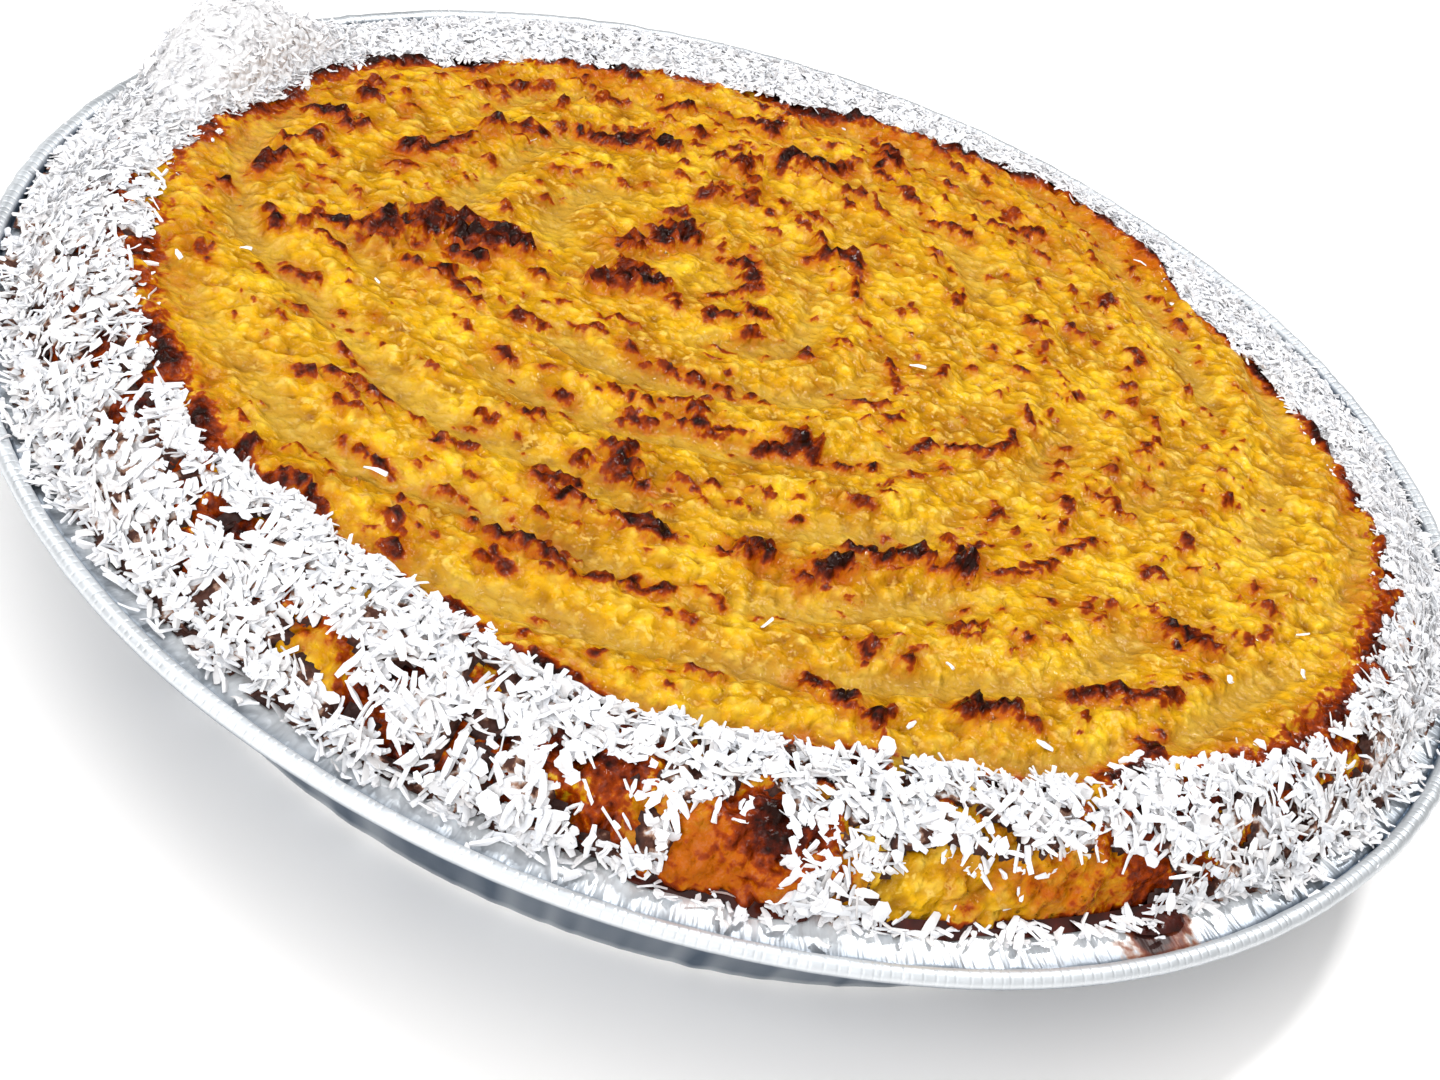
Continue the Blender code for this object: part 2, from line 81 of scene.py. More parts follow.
# Burnt crests that stand out, in mm on the top: strength, half width, points
CRESTS = (
    (1.0, 2.1, (-62, -6), (-60, -3)), (0.9, 1.6, (-63, -1), (-62, -2)),
    (1.0, 2.0, (-57, 0), (-56, 5), (-52, 7)), (1.0, 1.7, (-50, 2), (-46, 4), (-43, 4)),
    (0.9, 1.3, (-51, -4), (-47, -3)), (0.8, 1.2, (-69, -12), (-67, -12)),
    (0.8, 1.2, (-68, -5), (-66, -4)), (0.8, 1.2, (-57, -11), (-53, -12)),
    (0.8, 1.2, (-51, -11), (-46, -10)), (0.7, 1.1, (-39, -2), (-37, -3)),
    (0.8, 1.2, (-79, -10), (-77, -12)), (0.8, 1.2, (-76, -24), (-75, -25)),
    (0.7, 1.1, (-72, -21), (-72, -21)), (0.7, 1.2, (-85, -26), (-84, -27)),
    (0.7, 1.1, (-88, -5), (-87, -5)), (0.7, 1.1, (-85, 2), (-84, 5), (-83, 7)),
    (0.6, 1.0, (-84, 14), (-81, 16), (-79, 19)), (0.8, 1.2, (-84, 26), (-81, 27), (-78, 27), (-76, 24)),
    (0.7, 1.1, (-77, 35), (-77, 41), (-76, 43)), (0.8, 1.2, (-66, 22), (-64, 25), (-62, 28), (-59, 32)),
    (0.7, 1.0, (-67, 17), (-65, 17)), (0.8, 1.4, (-56, 38), (-55, 41), (-52, 42), (-49, 43)),
    (0.8, 1.2, (-46, 47), (-43, 50), (-40, 51), (-38, 51), (-35, 52), (-31, 53), (-27, 55)),
    (0.6, 1.2, (-44, 61), (-41, 65), (-38, 65)), (0.8, 1.2, (-32, 69), (-29, 70)),
    (0.7, 1.2, (-19, 56), (-16, 55), (-13, 59)), (0.9, 1.4, (-10, 60), (-7, 63), (-3, 65), (1, 66)),
    (0.8, 1.2, (-17, 73), (-13, 73), (-11, 77)), (0.8, 1.3, (7, 79), (9, 75), (6, 71)),
    (0.7, 1.6, (4, 59), (6, 59)), (0.7, 1.1, (-19, 40), (-17, 43)), (0.6, 1.0, (-14, 42), (-12, 44)),
    (0.6, 1.0, (-7, 47), (-4, 46), (-1, 46)), (0.9, 1.5, (1, 33), (3, 34), (7, 36), (8, 35)),
    (0.6, 1.1, (18, 60), (22, 60), (24, 59)), (0.7, 1.0, (29, 68), (33, 69), (36, 70)),
    (1.0, 2.0, (-27, 17), (-24, 22), (-21, 26), (-17, 26)),
    (1.0, 2.3, (-29, 3), (-26, 4), (-23, 6), (-20, 6)), (0.9, 1.5, (-25, 9), (-23, 12)),
    (0.9, 1.4, (-12, 24), (-9, 23), (-7, 20), (-6, 17)), (0.8, 1.1, (-12, 9), (-11, 11), (-8, 14)),
    (0.8, 1.2, (-11, 3), (-8, 5), (-5, 8), (-4, 9)), (0.8, 1.4, (-39, -16), (-37, -15), (-35, -15)),
    (0.6, 1.0, (-33, -14), (-32, -15)), (0.6, 0.9, (-25, -8), (-24, -7)),
    (0.6, 0.9, (-28, -13), (-26, -12), (-25, -12)), (0.8, 1.3, (-58, -39), (-56, -40)),
    (0.8, 1.3, (-59, -46), (-56, -46), (-54, -46), (-52, -47), (-49, -46)),
    (0.7, 1.0, (-69, -32), (-67, -32)), (0.9, 1.1, (-22, -27), (-20, -27), (-17, -27), (-14, -27)),
    (0.8, 1.1, (-15, -15), (-12, -15), (-10, -15), (-8, -15), (-5, -15)),
    (0.8, 1.0, (-4, -16), (-1, -14), (1, -14)), (0.8, 1.0, (-13, -25), (-11, -24), (-9, -22)),
    (0.8, 1.2, (-9, -28), (-7, -27), (-3, -27), (0, -26)), (0.8, 1.2, (18, 7), (20, 2)),
    (0.8, 1.2, (13, -7), (16, -7), (19, -5)), (0.7, 1.0, (20, -8), (22, -6)),
    (1.0, 1.8, (4, -26), (6, -25), (9, -23), (11, -24)),
    (0.9, 1.3, (13, -25), (15, -24), (17, -23), (19, -21)),
    (0.8, 1.1, (25, -14), (27, -11), (30, -10), (32, -9), (35, -7)),
    (0.8, 1.2, (35, -8), (37, -6), (39, -2), (39, 1)), (0.7, 0.9, (22, -25), (25, -21), (28, -19)),
    (1.0, 1.7, (-17, -42), (-15, -41), (-15, -43)), (0.8, 1.3, (-32, -40), (-29, -39), (-27, -39)),
    (0.8, 1.3, (-42, -54), (-40, -53), (-37, -52), (-35, -52)), (0.7, 1.0, (-49, -60), (-48, -61)),
    (0.9, 1.5, (-24, -54), (-21, -52), (-20, -51)), (1.0, 1.6, (-22, -57), (-19, -56), (-17, -55)),
    (0.9, 1.4, (-15, -46), (-13, -46), (-11, -47)), (0.7, 1.1, (-6, -43), (-4, -43)),
    (0.7, 1.0, (1, -43), (3, -43)), (0.6, 1.0, (4, -39), (6, -39), (7, -39)),
    (1.0, 1.7, (-12, -56), (-10, -56), (-7, -56), (-6, -56)),
    (1.0, 2.2, (-29, -68), (-26, -69), (-23, -69), (-21, -68)),
    (0.9, 1.3, (-26, -73), (-25, -75), (-23, -75)), (0.9, 1.4, (-20, -70), (-18, -70)),
    (0.8, 1.2, (-16, -72), (-13, -71), (-11, -70)),
    (0.9, 1.2, (-9, -69), (-7, -69), (-4, -68), (-2, -67)),
    (1.0, 1.9, (4, -55), (6, -55), (9, -54), (9, -52)), (1.0, 1.8, (14, -54), (17, -52), (18, -49)),
    (1.0, 1.9, (21, -45), (23, -45), (26, -44), (29, -41), (31, -41)),
    (1.0, 1.8, (32, -42), (35, -40), (38, -37)), (0.8, 1.2, (41, -38), (44, -36), (47, -33), (49, -30)),
    (0.8, 1.2, (50, -27), (52, -24), (54, -21), (56, -20)), (0.8, 1.3, (33, -34), (34, -35)),
    (0.7, 1.0, (2, -65), (4, -66), (5, -67)), (0.7, 1.2, (-1, -73), (2, -72)),
    (1.0, 2.1, (19, -74), (21, -76), (23, -77), (24, -78)), (0.9, 1.2, (26, -80), (29, -79), (31, -77)),
    (1.0, 1.9, (41, -71), (43, -70), (45, -69)), (0.8, 1.2, (47, -69), (50, -69)),
    (0.8, 1.3, (23, -66), (25, -66), (26, -65)), (0.7, 1.1, (36, -56), (38, -52), (40, -51)),
    (0.7, 1.2, (54, -40), (56, -40), (57, -39)), (1.0, 2.2, (67, -35), (69, -36), (71, -37), (69, -40)),
    (0.9, 1.4, (55, -59), (57, -58), (59, -57), (61, -55)),
    (0.9, 1.3, (63, -56), (66, -54), (69, -52), (70, -51)), (0.8, 1.3, (71, -46), (73, -45)),
    (0.9, 1.7, (65, -63), (67, -64), (69, -61)), (0.7, 1.4, (60, 9), (62, 13)),
    (0.7, 1.2, (46, -2), (48, -3)), (0.7, 1.1, (58, -10), (59, -11)), (0.7, 1.1, (64, -24), (65, -24)),
    (0.6, 1.2, (78, -22), (79, -22)), (0.7, 1.1, (25, 34), (27, 37)), (0.6, 1.0, (17, 24), (20, 27)),
    (0.7, 1.1, (38, 21), (40, 20)), (0.7, 1.1, (48, 39), (50, 39)), (0.7, 1.1, (55, 27), (57, 28)),
    (0.6, 1.0, (47, 68), (48, 67)), (0.7, 1.0, (9, 9), (11, 8)), (1.0, 1.6, (-64, -69), (-63, -69)),
    (0.9, 1.4, (-58, -72), (-55, -72), (-52, -73), (-50, -75)), (0.8, 1.3, (-41, -69), (-38, -70)),
    (0.8, 1.2, (-36, -63), (-33, -63)), (0.8, 1.3, (-40, -78), (-38, -78), (-38, -76)),
    (0.7, 1.0, (-58, -65), (-56, -64)),
)

# The coconut band, by azimuth in degrees: inner edge on the top and outer edge on the flange, in mm
INNER_EDGE = (
    (-180, 96), (-164, 95), (-156, 96.5), (-132, 96), (-124, 92), (-108, 90.5), (-92, 93), (-84, 91),
    (-68, 89.5), (-60, 93), (-52, 95), (-44, 94), (-36, 98.5), (-28, 101), (-12, 100.5), (4, 100.5),
    (12, 98), (20, 95), (36, 92), (44, 89.5), (48, 91), (52, 96), (60, 97.5), (68, 99), (76, 93.5),
    (84, 90.5), (92, 87.5), (132, 88), (140, 89.5), (148, 94), (156, 94), (164, 92.5), (172, 95),
)
OUTER_EDGE = (
    (-170, 116.5), (-150, 115.0), (-130, 114.5), (-110, 113.5), (-92, 111), (-60, 110), (-45, 111.5),
    (-35, 114.0), (0, 116), (14, 116), (26, 117.5), (60, 117), (90, 116), (120, 115.5), (140, 117),
    (165, 118), (180, 117.5),
)
# Where coconut has fallen off: azimuth in degrees, place along the bed, half sizes in mm, strength
BARE_SPOTS = (
    (-113.0, 106.5, 6.0, 3.0, 0.95), (-102.0, 99.0, 3.4, 2.6, 0.8), (-90.0, 107.5, 6.5, 4.5, 0.8),
    (-81.5, 110.0, 8.0, 11.5, 1.6), (-66.0, 111.0, 12.0, 7.0, 1.4), (-54.0, 111.5, 12.0, 7.0, 1.5),
    (-49.0, 119.0, 5.0, 5.0, 1.2), (-24.5, 108.0, 6.0, 3.0, 0.8), (-143.0, 99.0, 5.0, 4.0, 0.7),
    (-124.0, 101.0, 4.0, 3.5, 0.75), (-69.5, 92.0, 3.0, 3.0, 0.9),
)
# How far in from the coconut the top is browned, by azimuth in degrees, in mm
EDGE_BROWNING = (
    (-178, 5.0), (-165, 6.0), (-140, 5.0), (-118, 4.0), (-105, 2.6), (-60, 2.4), (-35, 2.0),
    (-20, 4.0), (0, 4.5), (20, 3.0), (32, 1.0), (48, 1.2), (54, 3.6), (66, 3.4), (90, 4.5),
    (125, 5.0), (160, 4.5),
)
# How far the bare side is toasted, by azimuth in degrees
SIDE_TOAST = (
    (-150, 0.5), (-112, 0.5), (-92, 0.55), (-85, 0.8), (-76, 0.8), (-73, 0.25), (-70, 0.0), (-64, 0.05),
    (-60, 0.45), (-52, 0.7), (-44, 0.6), (0, 0.45),
)
# How far the side is burnt: dark under the coconut, lighter where it is bare
SIDE_BURN = (
    (-180, 0.65), (-119, 0.65), (-116, 0.2), (-113, 0.25), (-110, 0.7), (-90, 0.6), (-86, 0.2),
    (-76, 0.2), (-74.5, 0.3), (-72, 0.0), (-60, 0.05), (-54, 0.3), (-49, 0.65), (0, 0.6),
)
HEAP_ROWS = 44
HEAP_STEPS = 760
HEAP_DEPTH = 2.3  # mm
MOUND = (160.5, 104.5, 18.0, 9.0, 12.6)  # azimuth, place along the bed, spreads, extra depth
# Kinds of shred: name, count, length, width and thickness in mm, spans, bend, taper, tilt off the heap
SHRED_KINDS = (
    ("coconut_strips", 9200, 3.2, 0.95, 0.34, 2, 0.4, 0.3, 0.22),
    ("coconut_chips", 8600, 2.6, 1.6, 0.34, 2, 0.35, 0.35, 0.26),
    ("coconut_curls", 6200, 4.0, 1.08, 0.34, 3, 0.6, 0.3, 0.3),
)
SHAPES_OF_A_KIND = 14
SIZE_SPREAD = 0.28
SIZE_AT_BACK = 0.6
SIZE_GAIN_AT_FRONT = 0.33
TRIES_AT_ONCE = 20000
MOST_CROWDED = 2.7
STRAYS_ON_TOP = 20
STRAYS_ON_FLANGE = 330
# Loose shreds on the bare side and at its foot: azimuths in degrees, places along the bed in mm, count
LOOSE_SHREDS = (
    (-73, -48, 103.5, 108.0, 34), (-66, -58, 106.0, 112.0, 7), (-74, -44, 114.8, 117.6, 70),
    (-90, -74, 103.0, 106.0, 16), (-97, -76, 116.5, 120.0, 26),
)

# The foil tin
FOIL_STEPS = 1440
HEM_CENTRE = (118.4, 27.6)
HEM_SIZE = (1.4, 1.2)
HEM_RADIUS = 118.5
TICK_SPACING = 1.5  # mm between the crimping tool's marks on the hem
PLEAT_SPACING = 3.2  # mm between the flange's pressed pleats
PLEAT_LENGTH = 14.0  # mm
GROOVE_RADIUS = 116.75  # mm, the groove inside the hem, painted dark as shade
SEAM_RADIUS = 118.3  # mm, the thin line along the hem, painted dark
# Syrup: azimuths in degrees from which to which it lies, and how far it reaches over the flange in mm
SYRUP_STRETCHES = ((-88.0, -75.0, 2.1), (-73.0, -45.0, 1.5), (-52.0, -46.5, 3.6), (-28.0, -21.0, 0.3))
SYRUP_ROWS = 9

# Sizes in mm at which the materials' patterns repeat
CUSTARD_GRAIN = 1.5
CUSTARD_FLECK = 1.4
CUSTARD_DRIFT = 9.0
COCONUT_FIBRE = 0.7
COCONUT_CRUMB = 1.3
STAIN_PATCH = 2.6
FOIL_BLOTCH = 3.0
FOIL_HAZE = 22.0
SYRUP_DRIFT = 4.0
PAPER_TOOTH = 400.0

# The camera, found by fitting a 240 mm circle to the rim in the photograph
CAMERA_PLACE = (0.0, -0.38573, 0.27812)
CAMERA_RIGHT = (0.943146, 0.189883, 0.272801)
CAMERA_UP = (-0.332350, 0.549559, 0.766504)
CAMERA_LENS = 73.36

# The lamps: name, place in metres, diameter in metres, power in watts
LAMP_TARGET = (0.0, 0.0, 0.03)
LAMPS = (
    ("key", (0.3, 0.42, 0.9), 0.13, 5.5),
    ("back_left", (-0.62, 0.3, 0.7), 0.5, 2.8),
    ("front_fill", (-0.4, -1.0, 0.6), 0.9, 8.0),
)


# Small tools


def smooth(low, high, value):
    share = np.clip((value - low) / (high - low), 0.0, 1.0)
    return share * share * (3 - 2 * share)


def hump(distance, half_width, power=2):
    """1 at distance 0, falling off to both sides."""
    return np.exp(-((distance / half_width) ** power))


def chance(cells, seed):
    """A repeatable random number from 0 to 1 for each whole-number cell."""
    x, y, z = (cells[..., axis].astype(np.int64).astype(np.uint32) for axis in range(3))
    mixed = x * np.uint32(374761393) + y * np.uint32(668265263) + z * np.uint32(2246822519)
    mixed = mixed + np.uint32(seed * 97531 + 17)
    mixed = (mixed ^ (mixed >> np.uint32(13))) * np.uint32(1274126177)
    mixed = (mixed ^ (mixed >> np.uint32(16))) * np.uint32(2654435769)
    return (mixed ^ (mixed >> np.uint32(15))).astype(np.float64) / 2**32


def swells(points, size, seed):
    """Smooth noise from -1 to 1, with swells about size mm across."""
    spots = points / size
    cell = np.floor(spots)
    part = smooth(0.0, 1.0, spots - cell)
    total = np.zeros(len(points))
    for corner in np.ndindex(2, 2, 2):
        weight = np.prod(np.where(corner, part, 1 - part), axis=1)
        total += weight * chance(cell + corner, seed)
    return 2 * total - 1


def packed_lumps(points, size, seed):
    """Rounded lumps side by side: 1 in the middle of each, 0 in the creases between them."""
    spots = points / size
    cell = np.floor(spots)
    nearest = np.full(len(points), 9.0)
    for shift in np.ndindex(3, 3, 3):
        home = cell + shift - 1
        middle = home + np.stack([chance(home, seed + axis) for axis in range(3)], axis=1)
        nearest = np.minimum(nearest, ((spots - middle) ** 2).sum(axis=1))
    return np.clip(1 - nearest / 0.62, 0.0, 1.0)


def rounded(outline, cuts=3):
    """An outline with its corners cut round, as the length along it and its points."""
    points = np.array(outline, float)
    for _ in range(cuts):
        near = 0.75 * points[:-1] + 0.25 * points[1:]
        far = 0.25 * points[:-1] + 0.75 * points[1:]
        points = np.vstack([points[:1], np.stack([near, far], axis=1).reshape(-1, 2), points[-1:]])
    steps = np.hypot(*np.diff(points, axis=0).T)
    return np.concatenate([[0.0], np.cumsum(steps)]), points


def turned(radius, azimuth, height):
    """Points from their radius, azimuth and height."""
    parts = np.broadcast_arrays(radius * np.cos(azimuth), radius * np.sin(azimuth), height)
    return np.stack(parts, axis=1)


def section(path, along):
    """Radius, height and the outward direction (in radius and height) at lengths along a path."""
    lengths, points = path
    places = (along - SLOPE_SPAN, along, along + SLOPE_SPAN)
    radii, heights = ([np.interp(place, lengths, part) for place in places] for part in points.T)
    run, fall = radii[2] - radii[0], heights[2] - heights[0]
    size = np.hypot(run, fall) + 1e-9
    return radii[1], heights[1], -fall / size, run / size


def turned_points(path, azimuth, along, lift):
    """Points lifted off a turned surface that sinks towards the back, with their outward directions."""
    radius, height, out, up = section(path, along)
    points = turned(radius + out * lift, azimuth, height + up * lift)
    share = np.clip((points[:, 2] - SINK_FROM) / SINK_SPAN, 0, 1.15)
    points[:, 2] -= FAR_DROP * share * smooth(-70.0, 100.0, points[:, 1])
    return points, turned(out, azimuth, up)


def bed_points(azimuth, along, lift):
    """Points lifted off the bed that the coconut lies on, with their outward directions."""
    return turned_points(rounded(BED_OUTLINE), azimuth, along, lift)


def by_azimuth(table, azimuth):
    angles, values = zip(*table)
    return np.interp(np.degrees(azimuth), angles, values, period=360)


def degrees_from(azimuth, centre):
    return (np.degrees(azimuth) - centre + 180) % 360 - 180


def grid_quads(rows, columns, wrap):
    """Faces of a grid of points numbered row by row; wrap joins the last column to the first."""
    across = columns if wrap else columns - 1
    row, column = np.meshgrid(np.arange(rows - 1), np.arange(across), indexing="ij")
    here = row * columns + column
    aside = row * columns + (column + 1) % columns
    return np.stack([here, aside, aside + columns, here + columns], axis=-1).reshape(-1, 4)


def joined(parts):
    """The points and faces of several meshes as those of one."""
    points, faces = zip(*parts)
    starts = np.cumsum([0] + [len(part) for part in points])
    return np.vstack(points), np.vstack([part + start for part, start in zip(faces, starts)])


def add_mesh(name, points, faces, material):
    """An object from points in mm and its faces."""
    mesh = bpy.data.meshes.new(name)
    mesh.from_pydata(points * MM, [], faces)
    mesh.materials.append(material)
    made = bpy.data.objects.new(name, mesh)
    bpy.context.scene.collection.objects.link(made)
    return made


def new_piece(name, points, faces, material, slot, smooth_angle=180):
    """A piece of the tart, shaded smooth but for edges sharper than smooth_angle in degrees."""
    piece = add_mesh(name, points, faces, material)
    piece.data.shade_smooth()
    if smooth_angle < 180:
        piece.data.set_sharp_from_angle(angle=math.radians(smooth_angle))
    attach(piece, "root")
    return piece


def store(piece, **fields):
    """Keeps values for each point, for the piece's material to read by name."""
    for name, values in fields.items():
        kept = piece.data.attributes.new(name, "FLOAT", "POINT")
        kept.data.foreach_set("value", np.asarray(values, np.float32))


# Materials


def colour(hex_code):
    """A colour as picked from the screen, turned to linear light."""
    channels = [int(hex_code[i : i + 2], 16) / 255 for i in (1, 3, 5)]
    return [c / 12.92 if c <= 0.04045 else ((c + 0.055) / 1.055) ** 2.4 for c in channels] + [1.0]


def fill(tree, socket, value):
    """Links a socket, or sets it where the value is a number or a colour's hex code."""
    if isinstance(value, bpy.types.NodeSocket):
        tree.links.new(value, socket)
    else:
        socket.default_value = colour(value) if isinstance(value, str) else value


def node(tree, kind, output, inputs=(), stops=(), **settings):
    """Adds a node and gives its output: inputs are set or linked, stops fill a ramp, settings set it up."""
    made = tree.nodes.new("ShaderNode" + kind)
    for name, value in settings.items():
        setattr(made, name, value)
    for name, value in dict(inputs).items():
        fill(tree, made.inputs[name], value)
    for place, (position, shade) in enumerate(stops):
        points = made.color_ramp.elements
        stop = points[place] if place < 2 else points.new(position)
        stop.position = position
        stop.color = colour(shade)
    return made.outputs[output]


def per_metre(size_mm):
    """The scale of a pattern whose repeats are size_mm apart."""
    return METRE / size_mm


def new_material(name):
    """A material with its node tree and the place on the object that its patterns are laid out by."""
    material = bpy.data.materials.new(name)
    material.use_nodes = True
    return material, material.node_tree, node(material.node_tree, "TexCoord", "Object")


def finished(material, surface):
    """The material with its shader's sockets set or linked."""
    shader = material.node_tree.nodes["Principled BSDF"]
    for name, value in surface.items():
        fill(material.node_tree, shader.inputs[name], value)
    return material


def baked_custard():
    """Baked coconut custard: grated coconut set in egg and sugar, so it is moist, granular and golden.
    Its crests are caramelised from orange through red-brown to nearly black."""
    material, tree, place = new_material("baked_coconut_custard")
    burn, toast, smear, lump = (
        node(tree, "Attribute", "Fac", attribute_name=name) for name in ("burn", "toast", "smear", "lump")
    )
    grid = {"Vector": place, "Scale": per_metre(CUSTARD_GRAIN)}
    # High in the pits between grains: it drives the grain's bump and painted shade in those pits
    grain = node(tree, "TexVoronoi", "Distance", grid, feature="SMOOTH_F1")
    grid = {"Vector": place, "Scale": per_metre(CUSTARD_FLECK), "Detail": 3.0}
    fleck = node(tree, "TexNoise", "Fac", grid)
    grid = {"Vector": place, "Scale": per_metre(CUSTARD_DRIFT), "Detail": 4.0}
    drift = node(tree, "TexNoise", "Fac", grid)

    golden = ((0.3, "#A26604"), (0.44, "#BE8606"), (0.57, "#D29E0E"), (0.7, "#E4B824"))
    body = node(tree, "ValToRGB", "Color", {"Fac": drift}, golden)
    painted_lump_level = node(tree, "Math", 0, {0: lump, 1: 0.5}, operation="SUBTRACT")
    uneven = node(tree, "Math", 0, {0: fleck, 1: 0.5}, operation="SUBTRACT")
    toasted = node(tree, "Math", 0, {0: uneven, 1: toast}, operation="ADD")
    burnt = node(tree, "Math", 0, {0: uneven, 1: 1.15, 2: burn}, operation="MULTIPLY_ADD")
    charred = ((0.22, "#B25604"), (0.46, "#863002"), (0.74, "#4A1202"), (0.98, "#1E0702"))
    char = node(tree, "ValToRGB", "Color", {"Fac": burnt}, charred)
    # Layers over the golden body: painted shade in creases and pits, painted highlight on the lumps' tops,
    # coconut flecks, smears, toast and char
    for pattern, low, high, most, shade in (
        (painted_lump_level, 0.0, -0.5, 1.0, "#7E4C04"),
        (painted_lump_level, 0.1, 0.42, 0.8, "#E2BE48"),
        (grain, 0.3, 0.6, 0.45, "#8E5C06"),
        (fleck, 0.58, 0.68, 0.6, "#EACB66"),
        (smear, 0.0, 1.0, 1.0, "#A68234"),
        (toasted, 0.12, 0.75, 1.0, "#A85404"),
        (burnt, 0.25, 0.38, 1.0, char),
    ):
        reach = {"Value": pattern, "From Min": low, "From Max": high, "To Max": most}
        cover = node(tree, "MapRange", "Result", reach)
        body = node(tree, "Mix", 2, {0: cover, 6: body, 7: shade}, data_type="RGBA")

    gloss = {"Value": fleck, "From Min": 0.35, "From Max": 0.65, "To Min": 0.1, "To Max": 0.36}
    grainy = {"Height": grain, "Strength": 0.9, "Distance": 1.0 * MM}
    grainy = node(tree, "Bump", "Normal", grainy, invert=True)
    rough = {"Height": fleck, "Strength": 0.7, "Distance": 0.6 * MM, "Normal": grainy}
    return finished(material, {
        "Base Color": body,
        "Roughness": node(tree, "MapRange", "Result", gloss),
        "IOR": 1.2,
        "Normal": node(tree, "Bump", "Normal", rough),
    })


def dried_coconut():
    """Desiccated coconut: white flesh that was shredded and dried, so it is matt, with faint fibres
    and slightly creamier from piece to piece."""
    material, tree, place = new_material("desiccated_coconut")
    tone = node(tree, "Attribute", "Fac", attribute_name="tone")
    grid = {"Vector": place, "Scale": per_metre(COCONUT_FIBRE), "Detail": 3.0}
    fibre = node(tree, "TexNoise", "Fac", grid)
    flesh = node(tree, "Mix", 2, {0: tone, 6: "#E2E4E8", 7: "#D8D5D4"}, data_type="RGBA")
    reach = {"Value": fibre, "From Min": 0.35, "From Max": 0.75, "To Max": 0.35}
    shade = node(tree, "MapRange", "Result", reach)
    return finished(material, {
        "Base Color": node(tree, "Mix", 2, {0: shade, 6: flesh, 7: "#D0CFD0"}, data_type="RGBA"),
        "Roughness": 0.62,
        "IOR": 1.42,
        "Normal": node(tree, "Bump", "Normal", {"Height": fibre, "Strength": 0.3, "Distance": 0.3 * MM}),
    })


def heaped_coconut():
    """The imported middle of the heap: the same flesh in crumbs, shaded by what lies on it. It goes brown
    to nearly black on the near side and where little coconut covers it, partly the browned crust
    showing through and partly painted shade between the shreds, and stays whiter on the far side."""
    material, tree, place = new_material("packed_coconut")
    stain = node(tree, "Attribute", "Fac", attribute_name="stain")
    grid = {"Vector": place, "Scale": per_metre(COCONUT_CRUMB)}
    crumb = node(tree, "TexVoronoi", "Distance", grid, feature="F1")
    grid = {"Vector": place, "Scale": per_metre(STAIN_PATCH), "Detail": 4.0}
    patch = node(tree, "TexNoise", "Fac", grid)
    soaked = node(tree, "Math", 0, {0: patch, 1: stain}, operation="ADD")
    stained = ((0.6, "#DCDBDC"), (0.67, "#A07A64"), (0.73, "#4C2413"), (0.95, "#2C0E06"))
    bump = {"Height": crumb, "Strength": 0.9, "Distance": 1.2 * MM}
    return finished(material, {
        "Base Color": node(tree, "ValToRGB", "Color", {"Fac": soaked}, stained),
        "Roughness": 0.75,
        "Normal": node(tree, "Bump", "Normal", bump, invert=True),
    })


def pleated(tree, place, normal):
    """Bumps for the creases that the press left across the flange, and the finer marks across the hem."""
    flange, hem = (node(tree, "Attribute", "Fac", attribute_name=name) for name in ("flange", "hem"))
    east = node(tree, "SeparateXYZ", "X", {"Vector": place})
    turn = node(tree, "Math", 0, {0: east.node.outputs["Y"], 1: east}, operation="ARCTAN2")
    reach = node(tree, "VectorMath", "Value", {0: place}, operation="LENGTH")
    unrolled = node(tree, "CombineXYZ", "Vector", {"X": turn, "Y": reach})
    pleats = (HEM_RADIUS / PLEAT_SPACING, per_metre(PLEAT_LENGTH), 0)
    counted = node(tree, "VectorMath", "Vector", {0: unrolled, 1: pleats}, operation="MULTIPLY")
    streak = node(tree, "TexNoise", "Fac", {"Vector": counted, "Scale": 1.0, "Detail": 3.0})
    level = node(tree, "Mix", 0, {0: flange, 2: 0.5, 3: streak})
    creased = {"Height": level, "Strength": 0.55, "Distance": 1.8 * MM, "Normal": normal}
    creased = node(tree, "Bump", "Normal", creased)
    ticks = {"W": turn, "Scale": HEM_RADIUS / TICK_SPACING}
    kind = {"voronoi_dimensions": "1D", "feature": "DISTANCE_TO_EDGE"}
    tick = node(tree, "TexVoronoi", "Distance", ticks, **kind)
    groove = node(tree, "MapRange", "Result", {"Value": tick, "From Min": 0.0, "From Max": 0.2})
    level = node(tree, "Mix", 0, {0: hem, 2: 1.0, 3: groove})
    marked = {"Height": level, "Strength": 0.22, "Distance": 0.3 * MM, "Normal": creased}
    return node(tree, "Bump", "Normal", marked)


